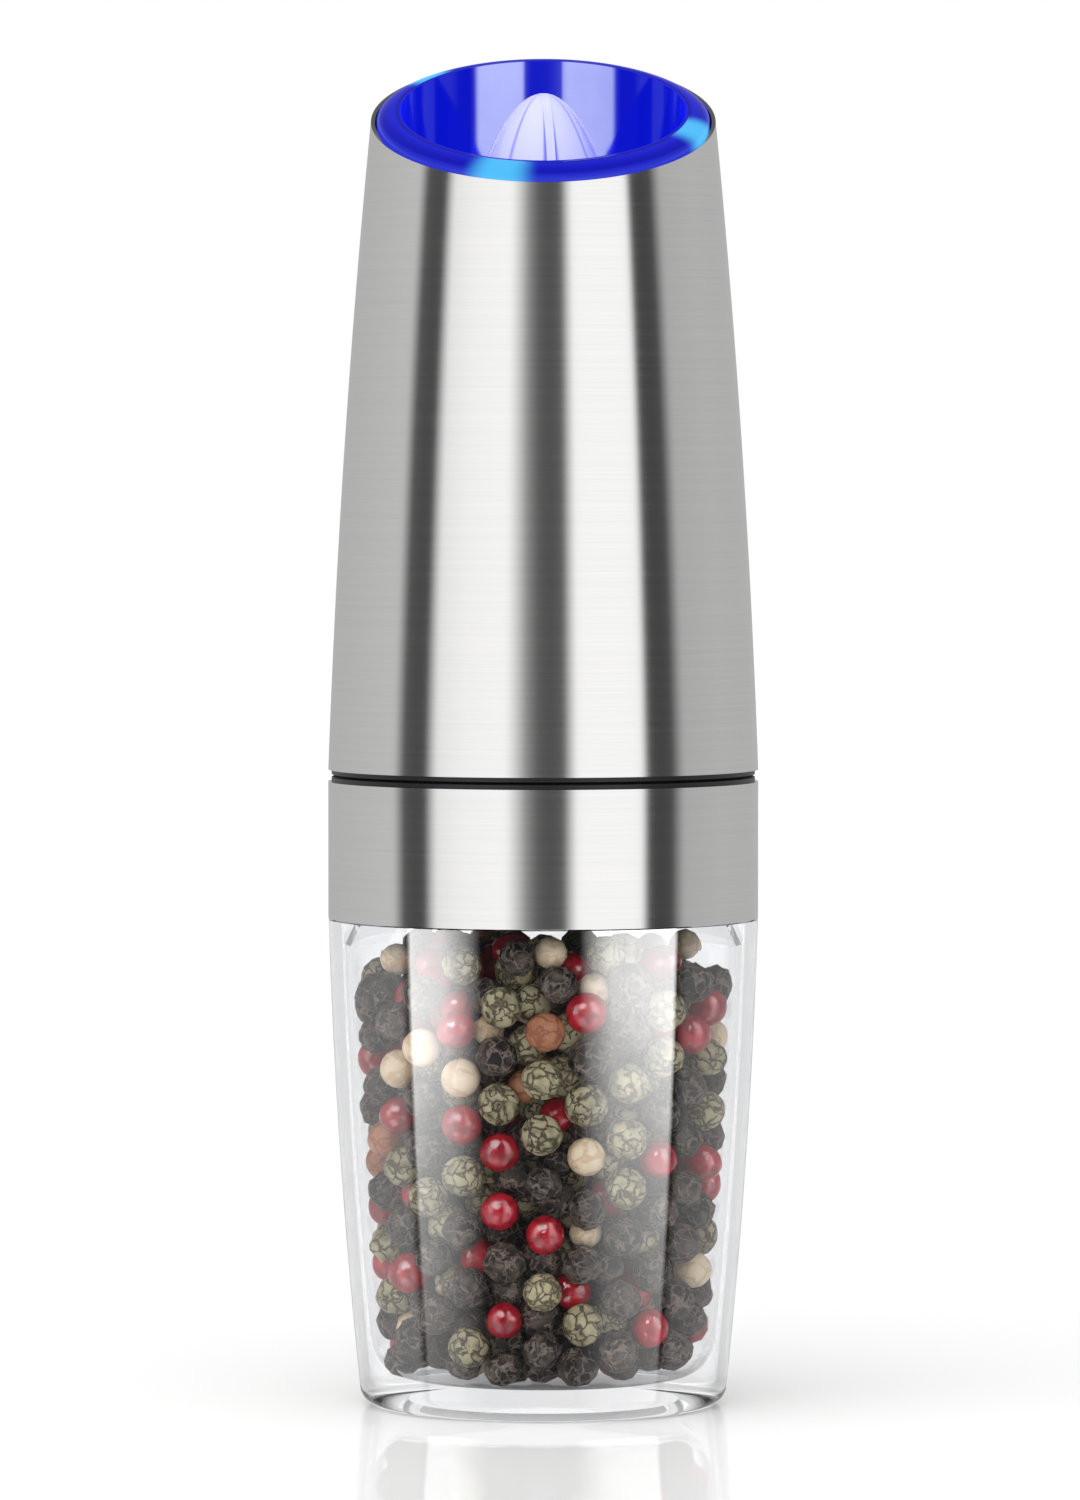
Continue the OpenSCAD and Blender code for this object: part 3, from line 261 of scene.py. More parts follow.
def turnProfile(points, steps, closed=True):  # points are radius and height in millimetres
    bm = bmesh.new()
    verts = [bm.verts.new((r * mm, 0, z * mm)) for r, z in points]
    edges = [bm.edges.new(pair) for pair in zip(verts, verts[1:])]
    if closed:
        edges.append(bm.edges.new((verts[-1], verts[0])))
    bmesh.ops.spin(bm, geom=verts + edges, cent=(0, 0, 0), axis=(0, 0, 1), dvec=(0, 0, 0),
                   angle=math.tau, steps=steps, use_merge=True)
    bmesh.ops.remove_doubles(bm, verts=bm.verts, dist=weld["doubles"])
    bmesh.ops.dissolve_degenerate(bm, dist=weld["degenerate"], edges=bm.edges)
    bmesh.ops.recalc_face_normals(bm, faces=bm.faces)
    return bm


def finishPiece(bm, name, body, material, sharp=32):
    mesh = bpy.data.meshes.new(name)
    bm.to_mesh(mesh)
    bm.free()
    mesh.shade_smooth()
    mesh.set_sharp_from_angle(angle=math.radians(sharp))
    mesh.materials.append(material)
    piece = bpy.data.objects.new(name, mesh)
    bpy.context.scene.collection.objects.link(piece)
    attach(piece, body)
    return piece


def arcPoints(centre, radius, start, end, count):
    angles = [math.radians(start + (end - start) * i / count) for i in range(1, count + 1)]
    return [(centre[0] + radius * math.cos(a), centre[1] + radius * math.sin(a)) for a in angles]


def bowed(low, high, bottom, top, bulge, z):  # a side that bows out between two radii
    t = (z - bottom) / (top - bottom)
    return low + (high - low) * t + 4 * bulge * t * (1 - t)


# Outer shape of the mill, as in the part's source
mill = dict(radius=32.75, jarTop=74.3, seamTop=96.9, cutHeight=195.8, slant=21, mouthRadius=26.15,
            sleeveBulge=0.76, sheet=0.6, runGap=0.3)
mouthAngle = math.radians(mill["slant"])
mouthTilt = math.tan(mouthAngle)
mouthNormal = Vector((0, -math.sin(mouthAngle), math.cos(mouthAngle)))


def sleeveRadius(z):
    return bowed(mill["radius"], mill["mouthRadius"], mill["seamTop"], mill["cutHeight"],
                 mill["sleeveBulge"], z)


# Brushed steel sleeve

steel = dict(dark=srgb(226, 226, 226), light=srgb(234, 233, 232), fineness=5200, length=18,
             rough=(0.11, 0.14), bump=0.015, rows=64, steps=192, spare=2)
brushedSteel = brushedFinish("brushedSteel", steel["dark"], steel["light"], steel["fineness"],
                             steel["length"], steel["rough"], steel["bump"])


def buildSleeve():
    foot, rows = mill["seamTop"], steel["rows"]
    top = mill["cutHeight"] + mill["mouthRadius"] * mouthTilt + steel["spare"]
    heights = [foot + (top - foot) * i / rows for i in range(rows + 1)]
    bm = turnProfile([(sleeveRadius(z), z) for z in heights], steel["steps"], closed=False)
    bmesh.ops.bisect_plane(bm, geom=bm.verts[:] + bm.edges[:] + bm.faces[:],
                           plane_co=(0, 0, mill["cutHeight"] * mm), plane_no=mouthNormal, clear_outer=True)
    outwards = sum(f.normal.dot(f.calc_center_median()) for f in bm.faces) > 0
    if not outwards:
        bmesh.ops.reverse_faces(bm, faces=bm.faces)
    bmesh.ops.solidify(bm, geom=bm.faces[:], thickness=mill["sheet"] * mm)
    sleeve = finishPiece(bm, "sleeveShell", "sleeve", brushedSteel)
    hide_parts("steel_sleeve")


buildSleeve()
print("sleeve built")

# Clear jar, with a gloss on its outside only

jar = dict(baseRadius=27.7, bulge=0.72, wall=3.2, floor=4.2, footRound=3, floorRound=6, hollowRadius=20,
           hollow=0.8, neckRadius=29.95, neckWall=2.4, neckEdge=0.6, neckTop=83.8, shoulder=4, seatGap=0.2,
           rows=24, roundSteps=10, steps=160, sharp=25)
jarLook = dict(dark=srgb(244, 245, 247), light=srgb(250, 250, 251), cloud=60.0, bend=1.03, coatBend=1.9,
               glossEdge=(0.4, 0.6))


def jarOuter(z):
    return bowed(jar["baseRadius"], mill["radius"], 0, mill["jarTop"], jar["bulge"], z)


def jarInner(z):
    return jarOuter(z) - jar["wall"]


def jarCorner():  # middle of the rounding at the jar's floor
    height = jar["floor"] + jar["floorRound"]
    return jarInner(height) - jar["floorRound"], height


def jarProfile():
    foot = (jarOuter(jar["footRound"]) - jar["footRound"], jar["footRound"])
    corner = jarCorner()
    seat = mill["jarTop"] - jar["seatGap"]
    shoulder = mill["jarTop"] - jar["shoulder"]
    neckOut, neckIn = jar["neckRadius"], jar["neckRadius"] - jar["neckWall"]
    edge, top = jar["neckEdge"], jar["neckTop"]
    hollow, hollowRadius = jar["hollow"], jar["hollowRadius"]
    steps = range(1, jar["rows"] + 1)
    points = [(0, hollow), (hollowRadius, hollow), (hollowRadius + hollow, 0), (foot[0], 0)]
    points += arcPoints(foot, jar["footRound"], -90, 0, jar["roundSteps"])
    points += [(jarOuter(z), z) for z in (foot[1] + (seat - foot[1]) * i / jar["rows"] for i in steps)]
    points += [(neckOut, seat), (neckOut, top - edge), (neckOut - edge, top), (neckIn + edge, top),
               (neckIn, top - edge), (neckIn, mill["jarTop"]), (jarInner(shoulder), shoulder)]
    points += [(jarInner(z), z)
               for z in (shoulder + (corner[1] - shoulder) * i / jar["rows"] for i in steps)]
    points += arcPoints(corner, jar["floorRound"], 0, -90, jar["roundSteps"])
    return points + [(0, jar["floor"])]


def jarMaterial():
    material, tree, shader = newMaterial("clearJar", Roughness=0.0, Transmission_Weight=1.0,
                                         IOR=jarLook["bend"], Coat_Roughness=0.0,
                                         Coat_IOR=jarLook["coatBend"])
    tint = addNode(tree, "ShaderNodeGroup", {
        "Dark": jarLook["dark"], "Light": jarLook["light"], "Scale": jarLook["cloud"]}, node_tree=mottle)
    tree.links.new(tint.outputs["Color"], shader.inputs["Base Color"])
    gloss = addRange(tree, addAttribute(tree, "outside"), *jarLook["glossEdge"], 0.0, 1.0)
    tree.links.new(gloss, shader.inputs["Coat Weight"])
    return material


def buildJar():
    bm = turnProfile(jarProfile(), jar["steps"], closed=False)
    outside = bm.verts.layers.float.new("outside")
    for v in bm.verts:
        away, z = math.hypot(v.co.x, v.co.y) / mm, v.co.z / mm
        middle = jarInner(max(z, jar["footRound"])) + jar["wall"] / 2
        v[outside] = 1.0 if z < mill["jarTop"] and away > middle else 0.0
    piece = finishPiece(bm, "jarShell", "jar", jarMaterial(), jar["sharp"])
    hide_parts("pepper_jar")


buildJar()
print("jar built")

# Peppercorns: whole ones along the wall, on top and on the floor as in the part's source, and loose ones
# that fill the room behind them and raise the heap to the level in the photo

pepper = dict(size=6.0, pitch=1.17, ring=1.3, turn=165, vary=0.05, sway=0.7, shift=0.1, level=69.3, crown=2.0,
              gap=0.3)
loosePepper = dict(seed=1402, count=540, reach=21, hollow=0.2, foot=8, floorGap=0.5, rise=3.5,
                   rounds=90, recheck=10, near=2.5, push=0.42, tiny=1e-6)
berryShape = dict(squeeze=(0.95, 0.1), wholeDetail=3, looseDetail=2, bend=0.35, bendTurns=3, folds=3.2,
                  crest=5, even=0.3)
# the vein colours are partly the berries' own and partly painted light: darker in the recessed creases of
# most kinds (painted shade), lighter on the raised ridges of black ones (painted highlight)
berryKinds = {  # share low and high in the jar, size against the usual one, and look
    "Black": dict(share=(0.64, 0.27), sizes=(0.94, 1.1), body=srgb(9, 7, 7), veinAndPaintedLight=srgb(128, 113, 102),
                  scale=560, blotch=0.12, fold=0.7, dent=0.13, bump=1.0, rough=0.55, crease=False),
    "Green": dict(share=(0.17, 0.28), sizes=(0.98, 1.12), body=srgb(180, 171, 136), veinAndPaintedLight=srgb(80, 70, 50),
                  scale=520, blotch=0.3, fold=0.7, dent=-0.1, bump=0.8, rough=0.55, crease=True),
    "White": dict(share=(0.07, 0.15), sizes=(0.82, 0.95), body=srgb(232, 214, 184), veinAndPaintedLight=srgb(206, 178, 142),
                  scale=260, blotch=0.6, fold=0.3, dent=-0.02, bump=0.1, rough=0.3, crease=True),
    "Red": dict(share=(0.09, 0.26), sizes=(0.93, 1.05), body=srgb(176, 24, 42), veinAndPaintedLight=srgb(132, 10, 28),
                scale=240, blotch=0.9, fold=0.3, dent=-0.02, bump=0.15, rough=0.14, crease=True),
    "Tan": dict(share=(0.03, 0.04), sizes=(0.82, 0.94), body=srgb(184, 126, 92), veinAndPaintedLight=srgb(140, 82, 54),
                scale=320, blotch=0.6, fold=0.4, dent=-0.03, bump=0.25, rough=0.4, crease=True),
}
goldenAngle = 137.508


def wobble(k):
    return math.sin(math.radians(goldenAngle * k * k))


def layBerries():  # middle and radius of each whole peppercorn
    size = pepper["size"]
    usual, ringPitch, shift = size / 2, pepper["ring"] * size, pepper["shift"] * size
    corner = jarCorner()
    bottom = jar["floor"] + pepper["gap"]
    topRadius = jarInner(pepper["level"]) - pepper["gap"]

    def radius(k):
        return usual * (1 + pepper["vary"] * wobble(k))

    def reach(r, z):
        if z > corner[1]:
            return jarInner(z) - pepper["gap"] - r
        rounding = jar["floorRound"] - pepper["gap"] - r
        return corner[0] + math.sqrt(max(0, rounding ** 2 - (corner[1] - z) ** 2))

    def layRing(r, height):  # height is a function of the peppercorn's radius
        count = math.floor(math.tau * r / ringPitch)
        return [(r, k * 360 / count, height(radius(k)), radius(k)) for k in range(1, count + 1)]

    low = bottom + usual * (1 + pepper["vary"]) + shift
    high = pepper["level"] - usual * (1 + pepper["vary"]) - shift
    lowReach, topReach = reach(usual, low), topRadius - usual
    count = math.floor(math.pi * (lowReach + topReach) * (high - low) / (pepper["pitch"] * size) ** 2)
    laid = []
    for k in range(1, count + 1):
        evenReach = math.sqrt(lowReach ** 2 + (topReach ** 2 - lowReach ** 2) * k / count)
        z = low + (high - low) * (evenReach - lowReach) / (topReach - lowReach) + shift * wobble(2 * k)
        laid.append((reach(radius(k), z), pepper["turn"] * k + pepper["sway"] * wobble(3 * k), z, radius(k)))
    for ring in range(1, math.floor(lowReach / ringPitch) + 1):
        heap, bed = topReach - ring * ringPitch, lowReach - ring * ringPitch
        heapHeight = pepper["level"] + pepper["crown"] * (1 - (heap / topRadius) ** 2)
        laid += layRing(heap, lambda own: heapHeight - own)
        laid += layRing(bed, lambda own: bottom + own)
    return np.array([(r * math.cos(math.radians(a)), r * math.sin(math.radians(a)), z, own)
                     for r, a, z, own in laid])


def packBerries():
    rng = np.random.default_rng(loosePepper["seed"])
    laid = layBerries()
    fixed, loose = len(laid), loosePepper["count"]
    hollow, foot = loosePepper["hollow"], loosePepper["foot"]
    names = list(berryKinds)
    turn = rng.random(loose) * math.tau
    out = np.sqrt(hollow + (1 - hollow) * rng.random(loose)) * loosePepper["reach"]
    height = foot + rng.random(loose) * (pepper["level"] - foot)
    scattered = np.stack([out * np.cos(turn), out * np.sin(turn), height], axis=1)
    place = np.concatenate([laid[:, :3], scattered])
    level = np.clip(place[:, 2] / pepper["level"], 0, 1)
    low, high = np.array([berryKinds[n]["share"] for n in names]).T
    chance = np.cumsum(low + (high - low) * level[:, None], axis=1)
    kinds = (rng.random(len(place))[:, None] * chance[:, -1:] > chance).sum(1)
    sizes = np.array([berryKinds[n]["sizes"] for n in names])[kinds]
    radii = (sizes[:, 0] + (sizes[:, 1] - sizes[:, 0]) * rng.random(len(place))) * pepper["size"] / 2
    radii[:fixed] = (radii[:fixed] + laid[:, 3]) / 2
    lowest = jar["floor"] + radii + loosePepper["floorGap"]
    highest = pepper["level"] + loosePepper["rise"] - radii
    for step in range(loosePepper["rounds"]):  # push the loose ones apart; the whole ones stay
        if step % loosePepper["recheck"] == 0:
            apart = place[:, None, :] - place[None, :, :]
            near = (apart * apart).sum(2) < (radii[:, None] + radii[None, :] + loosePepper["near"]) ** 2
            left, right = np.nonzero(np.triu(near, 1))
        apart = place[left] - place[right]
        far = np.sqrt((apart * apart).sum(1)) + loosePepper["tiny"]
        overlap = np.clip(radii[left] + radii[right] - far, 0, None)
        push = (loosePepper["push"] * overlap / far)[:, None] * apart
        np.add.at(place, left, push)
        np.subtract.at(place, right, push)
        away = np.hypot(place[:, 0], place[:, 1]) + loosePepper["tiny"]
        place[:, :2] *= np.minimum(1, (jarInner(place[:, 2]) - radii - pepper["gap"]) / away)[:, None]
        place[:, 2] = np.clip(place[:, 2], lowest, highest)
        place[:fixed] = laid[:, :3]
    return rng, names, kinds, radii, place, fixed


def berryMaterial(name, look):
    material, tree, shader = newMaterial("berry" + name, Roughness=look["rough"])
    effect = addNode(tree, "ShaderNodeGroup", {
        "Body": look["body"], "Vein And Painted Light": look["veinAndPaintedLight"], "Scale": look["scale"], "Blotch": look["blotch"],
        "Fold": look["fold"]}, node_tree=wrinkle)
    tree.links.new(effect.outputs["Color"], shader.inputs["Base Color"])
    addBump(tree, shader, effect.outputs["Height"], look["bump"], bumpDepth["berry"], look["crease"])
    return material


def addBerry(bm, rng, middle, radius, detail, dent):  # middle and radius are in metres
    tone, fold = bm.verts.layers.float["tone"], bm.verts.layers.float["fold"]
    least, spread = berryShape["squeeze"]
    tilt = Vector(rng.normal(size=3)).normalized()
    squeeze = [radius * (least + spread * rng.random()) for _ in range(3)]
    matrix = (Matrix.Translation(middle) @ Matrix.Rotation(rng.random() * math.tau, 4, tilt)
              @ Matrix.Diagonal((*squeeze, 1)))
    made = bmesh.ops.create_icosphere(bm, subdivisions=detail, radius=1, matrix=matrix)["verts"]
    shade = rng.random()
    out = (np.array([v.co for v in made]) - np.array(middle)) / radius
    bent = out + berryShape["bend"] * np.sin(out @ rng.normal(size=(3, 3)) * berryShape["bendTurns"])
    waves = np.sin(bent @ rng.normal(size=(3, 3)) * berryShape["folds"] + rng.random(3) * math.tau)
    ridge = np.max(1 - np.abs(waves), axis=1) ** berryShape["crest"]
    for v, way, rise in zip(made, out, ridge):
        v[tone] = shade
        v[fold] = rise
        v.co += Vector(way) * (radius * dent * (rise - berryShape["even"]))


def buildBerries():
    rng, names, kinds, radii, place, fixed = packBerries()
    for index, name in enumerate(names):
        look = berryKinds[name]
        bm = bmesh.new()
        bm.verts.layers.float.new("tone")
        bm.verts.layers.float.new("fold")
        for i in np.flatnonzero(kinds == index):
            detail = berryShape["wholeDetail"] if i < fixed else berryShape["looseDetail"]
            addBerry(bm, rng, Vector(place[i]) * mm, radii[i] * mm, detail, look["dent"])
        piece = finishPiece(bm, "berries" + name, "jar", berryMaterial(name, look), sharp=180)
        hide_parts("peppercorn_fill")


buildBerries()
print("peppercorns packed")

# Lit mouth: its wall, the ring on its edge and the ribbed cone

mouth = dict(bore=21.65, wall=1.3, flangeTop=152.8, flangeRadius=26.88, foot=1.5, tubeIn=17.18, tubeWall=1.4,
             knee=174.8, lipDepth=3, lipProud=1.2, rim=0.5, rimGap=0.05, steps=160)
# the wall's glow colour is painted glow: the wall is no lamp, and its emission stands for the ring's light
# falling on it
wallLook = dict(glow=srgb(8, 18, 196), dark=srgb(160, 166, 160), light=srgb(170, 176, 168), cloud=90.0,
                rough=(0.06, 0.1), shade=srgb(14, 20, 60),
                # where the painted shade starts and is full, as shares of the bore, and its strength; it
                # stands for dark reflections at the sides and in the middle
                sideShade=(0.48, 0.53, 0.92), middleShade=(0.15, 0.12, 0.85))


def leanToMouth(v, level):  # a height above the mouth's slanted plane
    v.co.z = mill["cutHeight"] * mm + v.co.y * mouthTilt + level / mouthNormal.z


def wallMaterial():
    # painted glow: emission on a wall that is no lamp, standing for the ring's light
    material, tree, shader = newMaterial("litWall", Metallic=1.0, Emission_Color=wallLook["glow"],
                                         Emission_Strength=1.0)
    cloudy = addNode(tree, "ShaderNodeGroup", {
        "Dark": wallLook["dark"], "Light": wallLook["light"], "Scale": wallLook["cloud"],
        "Rough Low": wallLook["rough"][0], "Rough High": wallLook["rough"][1]}, node_tree=mottle).outputs
    # painted shade: the wall is darkened by its place across the bore, at the sides and in the middle,
    # standing for dark reflections
    across = addNode(tree, "ShaderNodeSeparateXYZ", {0: objectPlace(tree)}).outputs["X"]
    off = addMath(tree, "ABSOLUTE", across)
    bore = mouth["bore"]
    start, full, strength = wallLook["sideShade"]
    sidePaintedShade = addRange(tree, off, start * bore * mm, full * bore * mm, 0.0, strength, smooth=True)
    start, full, strength = wallLook["middleShade"]
    middle = addRange(tree, off, full * bore * mm, start * bore * mm, strength, 0.0, smooth=True)
    paintedShade = addMath(tree, "MAXIMUM", sidePaintedShade, middle)
    tree.links.new(addMix(tree, paintedShade, cloudy["Color"], wallLook["shade"]), shader.inputs["Base Color"])
    tree.links.new(cloudy["Roughness"], shader.inputs["Roughness"])
    return material


def buildMouthWall():
    bore, out, low = mouth["bore"], mouth["bore"] + mouth["wall"], mouth["flangeTop"]
    slanted = 1000  # heights from here on follow the mouth's plane
    under = slanted - mouth["lipDepth"] - mouth["rimGap"]
    lip = slanted + mouth["lipProud"]
    points = [(mouth["tubeIn"], low), (mouth["flangeRadius"], low),
              (mouth["flangeRadius"], low + mouth["foot"]),
              (mouth["tubeIn"] + mouth["tubeWall"] * mouth["wall"], low + mouth["foot"]),
              (out, mouth["knee"] - mouth["wall"]), (out, under), (bore + mouth["rim"], under),
              (bore + mouth["rim"], lip), (bore, lip), (bore, mouth["knee"])]
    bm = turnProfile(points, mouth["steps"])
    for v in bm.verts:
        if v.co.z > slanted / 2 * mm:
            leanToMouth(v, v.co.z - slanted * mm)
    bmesh.ops.recalc_face_normals(bm, faces=bm.faces)
    piece = finishPiece(bm, "mouthWall", "chassis", wallMaterial())
    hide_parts("outlet_funnel")


ring = dict(steps=180, roundSteps=12, fits=6, sharp=50)
ringLook = dict(base=srgb(2, 3, 40), edge=srgb(2, 4, 130), lit=srgb(80, 192, 250),
                # from and to, as shares of the way from the ring's inner edge, and the glow reached there
                tones=[(0.0, 0.2, srgb(8, 18, 208)), (0.25, 0.6, srgb(4, 8, 178)),
                       (0.8, 1.0, srgb(40, 50, 204))],
                # where the lamps are, in degrees, and how wide and sharp their spots
                lamps=(-19, 140, 255), spot=(0.966, 1.0), spotPower=2.2)


def ringMaterial():
    material, tree, shader = newMaterial("litRing", Base_Color=ringLook["base"], Roughness=0.3,
                                         Specular_IOR_Level=0.25, Coat_Weight=0.1, Coat_Roughness=0.12,
                                         Emission_Strength=1.0)
    flat = addVector(tree, "MULTIPLY", objectPlace(tree), (1, 1, 0))
    aim = addVector(tree, "NORMALIZE", flat)
    glow = 0.0
    for angle in ringLook["lamps"]:
        lamp = (math.cos(math.radians(angle)), math.sin(math.radians(angle)), 0)
        near = addVector(tree, "DOT_PRODUCT", aim, lamp)
        spot = addRange(tree, near, *ringLook["spot"], 0.0, 1.0, smooth=True)
        glow = addMath(tree, "MAXIMUM", glow, addMath(tree, "POWER", spot, ringLook["spotPower"]))
    across = addAttribute(tree, "across")
    tone = ringLook["edge"]
    for start, end, colour in ringLook["tones"]:
        tone = addMix(tree, addRange(tree, across, start, end, 0.0, 1.0), tone, colour)
    tree.links.new(addMix(tree, glow, tone, ringLook["lit"]), shader.inputs["Emission Color"])
    return material


def buildLitRing():
    mean = mill["mouthRadius"] - mill["sheet"] - mill["runGap"]
    inner = mouth["bore"] + mouth["rim"] + mouth["rimGap"]
    angles = [math.pi / 2 * i / ring["roundSteps"] for i in range(ring["roundSteps"] + 1)]
    points = [(inner, -mouth["lipDepth"]), (mean, -mouth["lipDepth"])]
    points += [(inner + (mean - inner) * math.cos(a), mouth["lipProud"] * math.sin(a)) for a in angles]
    bm = turnProfile(points, ring["steps"])
    across = bm.verts.layers.float.new("across")
    for v in bm.verts:  # lean the ring into the slanted mouth and out to the sleeve
        r = math.hypot(v.co.x, v.co.y) / mm
        v[across] = (r - inner) / (mean - inner)
        away = v.co.y / (r * mm)
        reach = mean
        for _ in range(ring["fits"]):
            height = mill["cutHeight"] + reach * away * mouthTilt
            reach = sleeveRadius(height) - mill["sheet"] - mill["runGap"]
        wide = inner + (r - inner) / (mean - inner) * (reach - inner)
        v.co.x *= wide / r
        v.co.y *= wide / r
        leanToMouth(v, v.co.z)
    piece = finishPiece(bm, "litRing", "chassis", ringMaterial(), ring["sharp"])
    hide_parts("light_ring")


cone = dict(foot=174.3, top=199.6, radius=13.24, wall=1.4, steps=120, rows=24)
rib = dict(out=0.7, root=0.7, thick=1.3, turn=8, count=4)
# the dark colour is painted shade, in lines beside the ribs and halfway between them
coneLook = dict(light=srgb(188, 190, 240), dark=srgb(92, 96, 196), glow=srgb(150, 152, 236),
                ribDark=srgb(176, 178, 236), ribLight=srgb(192, 194, 244), ribPaintedGlow=srgb(140, 142, 230),
                paintedGlowStrength=0.25,
                # painted shade lines, set from one rib to the next: dark beside each rib and halfway between
                grooves=[(0, 1), (0.07, 1), (0.1, 0), (0.46, 0), (0.5, 0.8), (0.54, 0), (0.9, 0), (0.93, 1),
                         (1, 1)])


def conePoints(radius, top, height):
    rows = cone["rows"]
    return [(radius * i / rows, top - height * (i / rows) ** 2) for i in range(rows + 1)]


def coneMaterial():
    # painted glow: the cone is no lamp, and its emission stands for the ring's light falling on it
    material, tree, shader = newMaterial("litCone", Roughness=0.3, Emission_Color=coneLook["glow"],
                                         Emission_Strength=coneLook["paintedGlowStrength"], Coat_Weight=0.4)
    place = addNode(tree, "ShaderNodeSeparateXYZ", {0: objectPlace(tree)}).outputs
    angle = addMath(tree, "ARCTAN2", place["Y"], place["X"])
    turn = addMath(tree, "MULTIPLY_ADD", angle, rib["count"] / math.tau, 1 - rib["turn"] * rib["count"] / 360)
    groove = addRamp(tree, addMath(tree, "FRACT", turn), coneLook["grooves"])
    tree.links.new(addMix(tree, groove, coneLook["light"], coneLook["dark"]), shader.inputs["Base Color"])
    return material


def buildCone():
    height = cone["top"] - cone["foot"]
    outer = conePoints(cone["radius"], cone["top"], height)
    inner = conePoints(cone["radius"] - cone["wall"], cone["top"] - cone["wall"], height - cone["wall"])
    bm = turnProfile(outer + inner[::-1], cone["steps"], closed=False)
    shell = finishPiece(bm, "coneShell", "chassis", coneMaterial())
    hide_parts("discharge_cone")
    ribs = bmesh.new()
    outline = conePoints(cone["radius"] + rib["out"], cone["top"], height)
    under = conePoints(cone["radius"] - rib["root"], cone["top"] - rib["root"], height - rib["root"])
    for i in range(rib["count"]):
        side = [ribs.verts.new((r * mm, -rib["thick"] / 2 * mm, z * mm)) for r, z in outline + under[::-1]]
        grown = bmesh.ops.extrude_face_region(ribs, geom=[ribs.faces.new(side)])["geom"]
        moved = [g for g in grown if isinstance(g, bmesh.types.BMVert)]
        bmesh.ops.translate(ribs, verts=moved, vec=(0, rib["thick"] * mm, 0))
        turn = Matrix.Rotation(math.radians(rib["turn"] - 90 + 360 * i / rib["count"]), 3, "Z")
        bmesh.ops.rotate(ribs, verts=side + moved, cent=(0, 0, 0), matrix=turn)
    bmesh.ops.recalc_face_normals(ribs, faces=ribs.faces)
    # the ribs carry the same painted glow
    ribFinish = mottledFinish("litRib", coneLook["ribDark"], coneLook["ribLight"], 120, (0.25, 0.35),
                              Emission_Color=coneLook["ribPaintedGlow"], Emission_Strength=coneLook["paintedGlowStrength"])
    finishPiece(ribs, "coneRibs", "chassis", ribFinish)


buildMouthWall()
buildLitRing()
buildCone()
print("mouth built")

# Finishes of the solids that stay: dark and light colour, scale, gloss, bump

finishes = {
    "brushed_steel": brushedSteel,
    "silicone": mottledFinish("silicone", srgb(36, 36, 38), srgb(52, 52, 54), 700, (0.6, 0.75), 0.15),
    "black_plastic": mottledFinish("blackPlastic", srgb(15, 15, 16), srgb(24, 24, 26), 1800, (0.34, 0.46),
                                   0.1),
    "burr_ceramic": mottledFinish("burrCeramic", srgb(222, 216, 202), srgb(238, 234, 224), 900, (0.45, 0.6),
                                  0.15),
    "zinc_steel": mottledFinish("zincSteel", srgb(172, 174, 178), srgb(204, 206, 210), 260, (0.26, 0.42),
                                Metallic=1.0),
    "shaft_steel": brushedFinish("shaftSteel", srgb(178, 178, 182), srgb(208, 208, 212), 4200, 60,
                                 (0.2, 0.3)),
    "spring_steel": mottledFinish("springSteel", srgb(196, 196, 200), srgb(222, 222, 226), 800, (0.16, 0.26),
                                  Metallic=1.0),
    "brass": brushedFinish("brass", srgb(204, 164, 92), srgb(226, 190, 118), 3600, 80, (0.24, 0.36)),
    "copper": mottledFinish("copper", srgb(176, 92, 52), srgb(204, 116, 68), 1400, (0.28, 0.4), 0.2,
                            Metallic=1.0),
    "gear_plastic": mottledFinish("gearPlastic", srgb(226, 220, 198), srgb(238, 234, 216), 500, (0.32, 0.42)),
    "magnet": mottledFinish("magnetIron", srgb(62, 62, 66), srgb(92, 92, 96), 1300, (0.45, 0.62), 0.25,
                            Metallic=0.6),
    "wire_red": mottledFinish("wireRed", srgb(150, 20, 18), srgb(178, 32, 28), 500, (0.35, 0.45)),
    "cell_jacket": mottledFinish("cellJacket", srgb(42, 58, 74), srgb(56, 74, 92), 180, (0.26, 0.36),
                                 Metallic=0.3),
    "board_green": mottledFinish("boardGreen", srgb(20, 84, 50), srgb(32, 106, 64), 700, (0.3, 0.4)),
    "strip_white": mottledFinish("stripWhite", srgb(224, 224, 220), srgb(238, 238, 234), 600, (0.5, 0.6)),
    "led_blue": mottledFinish("lampResin", srgb(150, 200, 250), srgb(190, 226, 255), 900, (0.15, 0.25),
                              Emission_Color=srgb(84, 190, 252), Emission_Strength=1.0),
}
for entry in frame["record"]["subparts"]:
    finish = finishes.get(entry["material_slot"])
    if finish:
        frame["nodes"][entry["node"]].data.materials[0] = finish
print("solids finished")

# Burr's spring, which the burr presses as it slides; the coil is built at one fixed length

spring = dict(radius=4.1, wire=0.7, turns=4.5, rings=26, sides=10)


def buildSpring():
    low, high = (corner[2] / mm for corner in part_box("rotor_spring"))
    wire = spring["wire"] / 2
    foot, top = low + wire, high - wire
    count = math.ceil(spring["turns"] * spring["rings"])
    start = (Matrix.Translation((spring["radius"] * mm, 0, foot * mm))
             @ Matrix.Rotation(math.pi / 2, 4, "X"))
    bm = bmesh.new()
    bmesh.ops.create_circle(bm, segments=spring["sides"], radius=wire * mm, matrix=start)
    bmesh.ops.spin(bm, geom=bm.verts[:] + bm.edges[:], cent=(0, 0, 0), axis=(0, 0, 1),
                   dvec=(0, 0, (top - foot) / count * mm), angle=math.tau * spring["turns"], steps=count)
    bmesh.ops.edgeloop_fill(bm, edges=[edge for edge in bm.edges if edge.is_boundary])
    bmesh.ops.recalc_face_normals(bm, faces=bm.faces)
    coil = finishPiece(bm, "springCoil", "drive", finishes["spring_steel"])
    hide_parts("rotor_spring")
    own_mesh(coil)


buildSpring()
print("spring built")

# Floor, light and camera

floorLook = dict(size=6, colour=srgb(240, 240, 240), sheen=0.3, through=0.1)


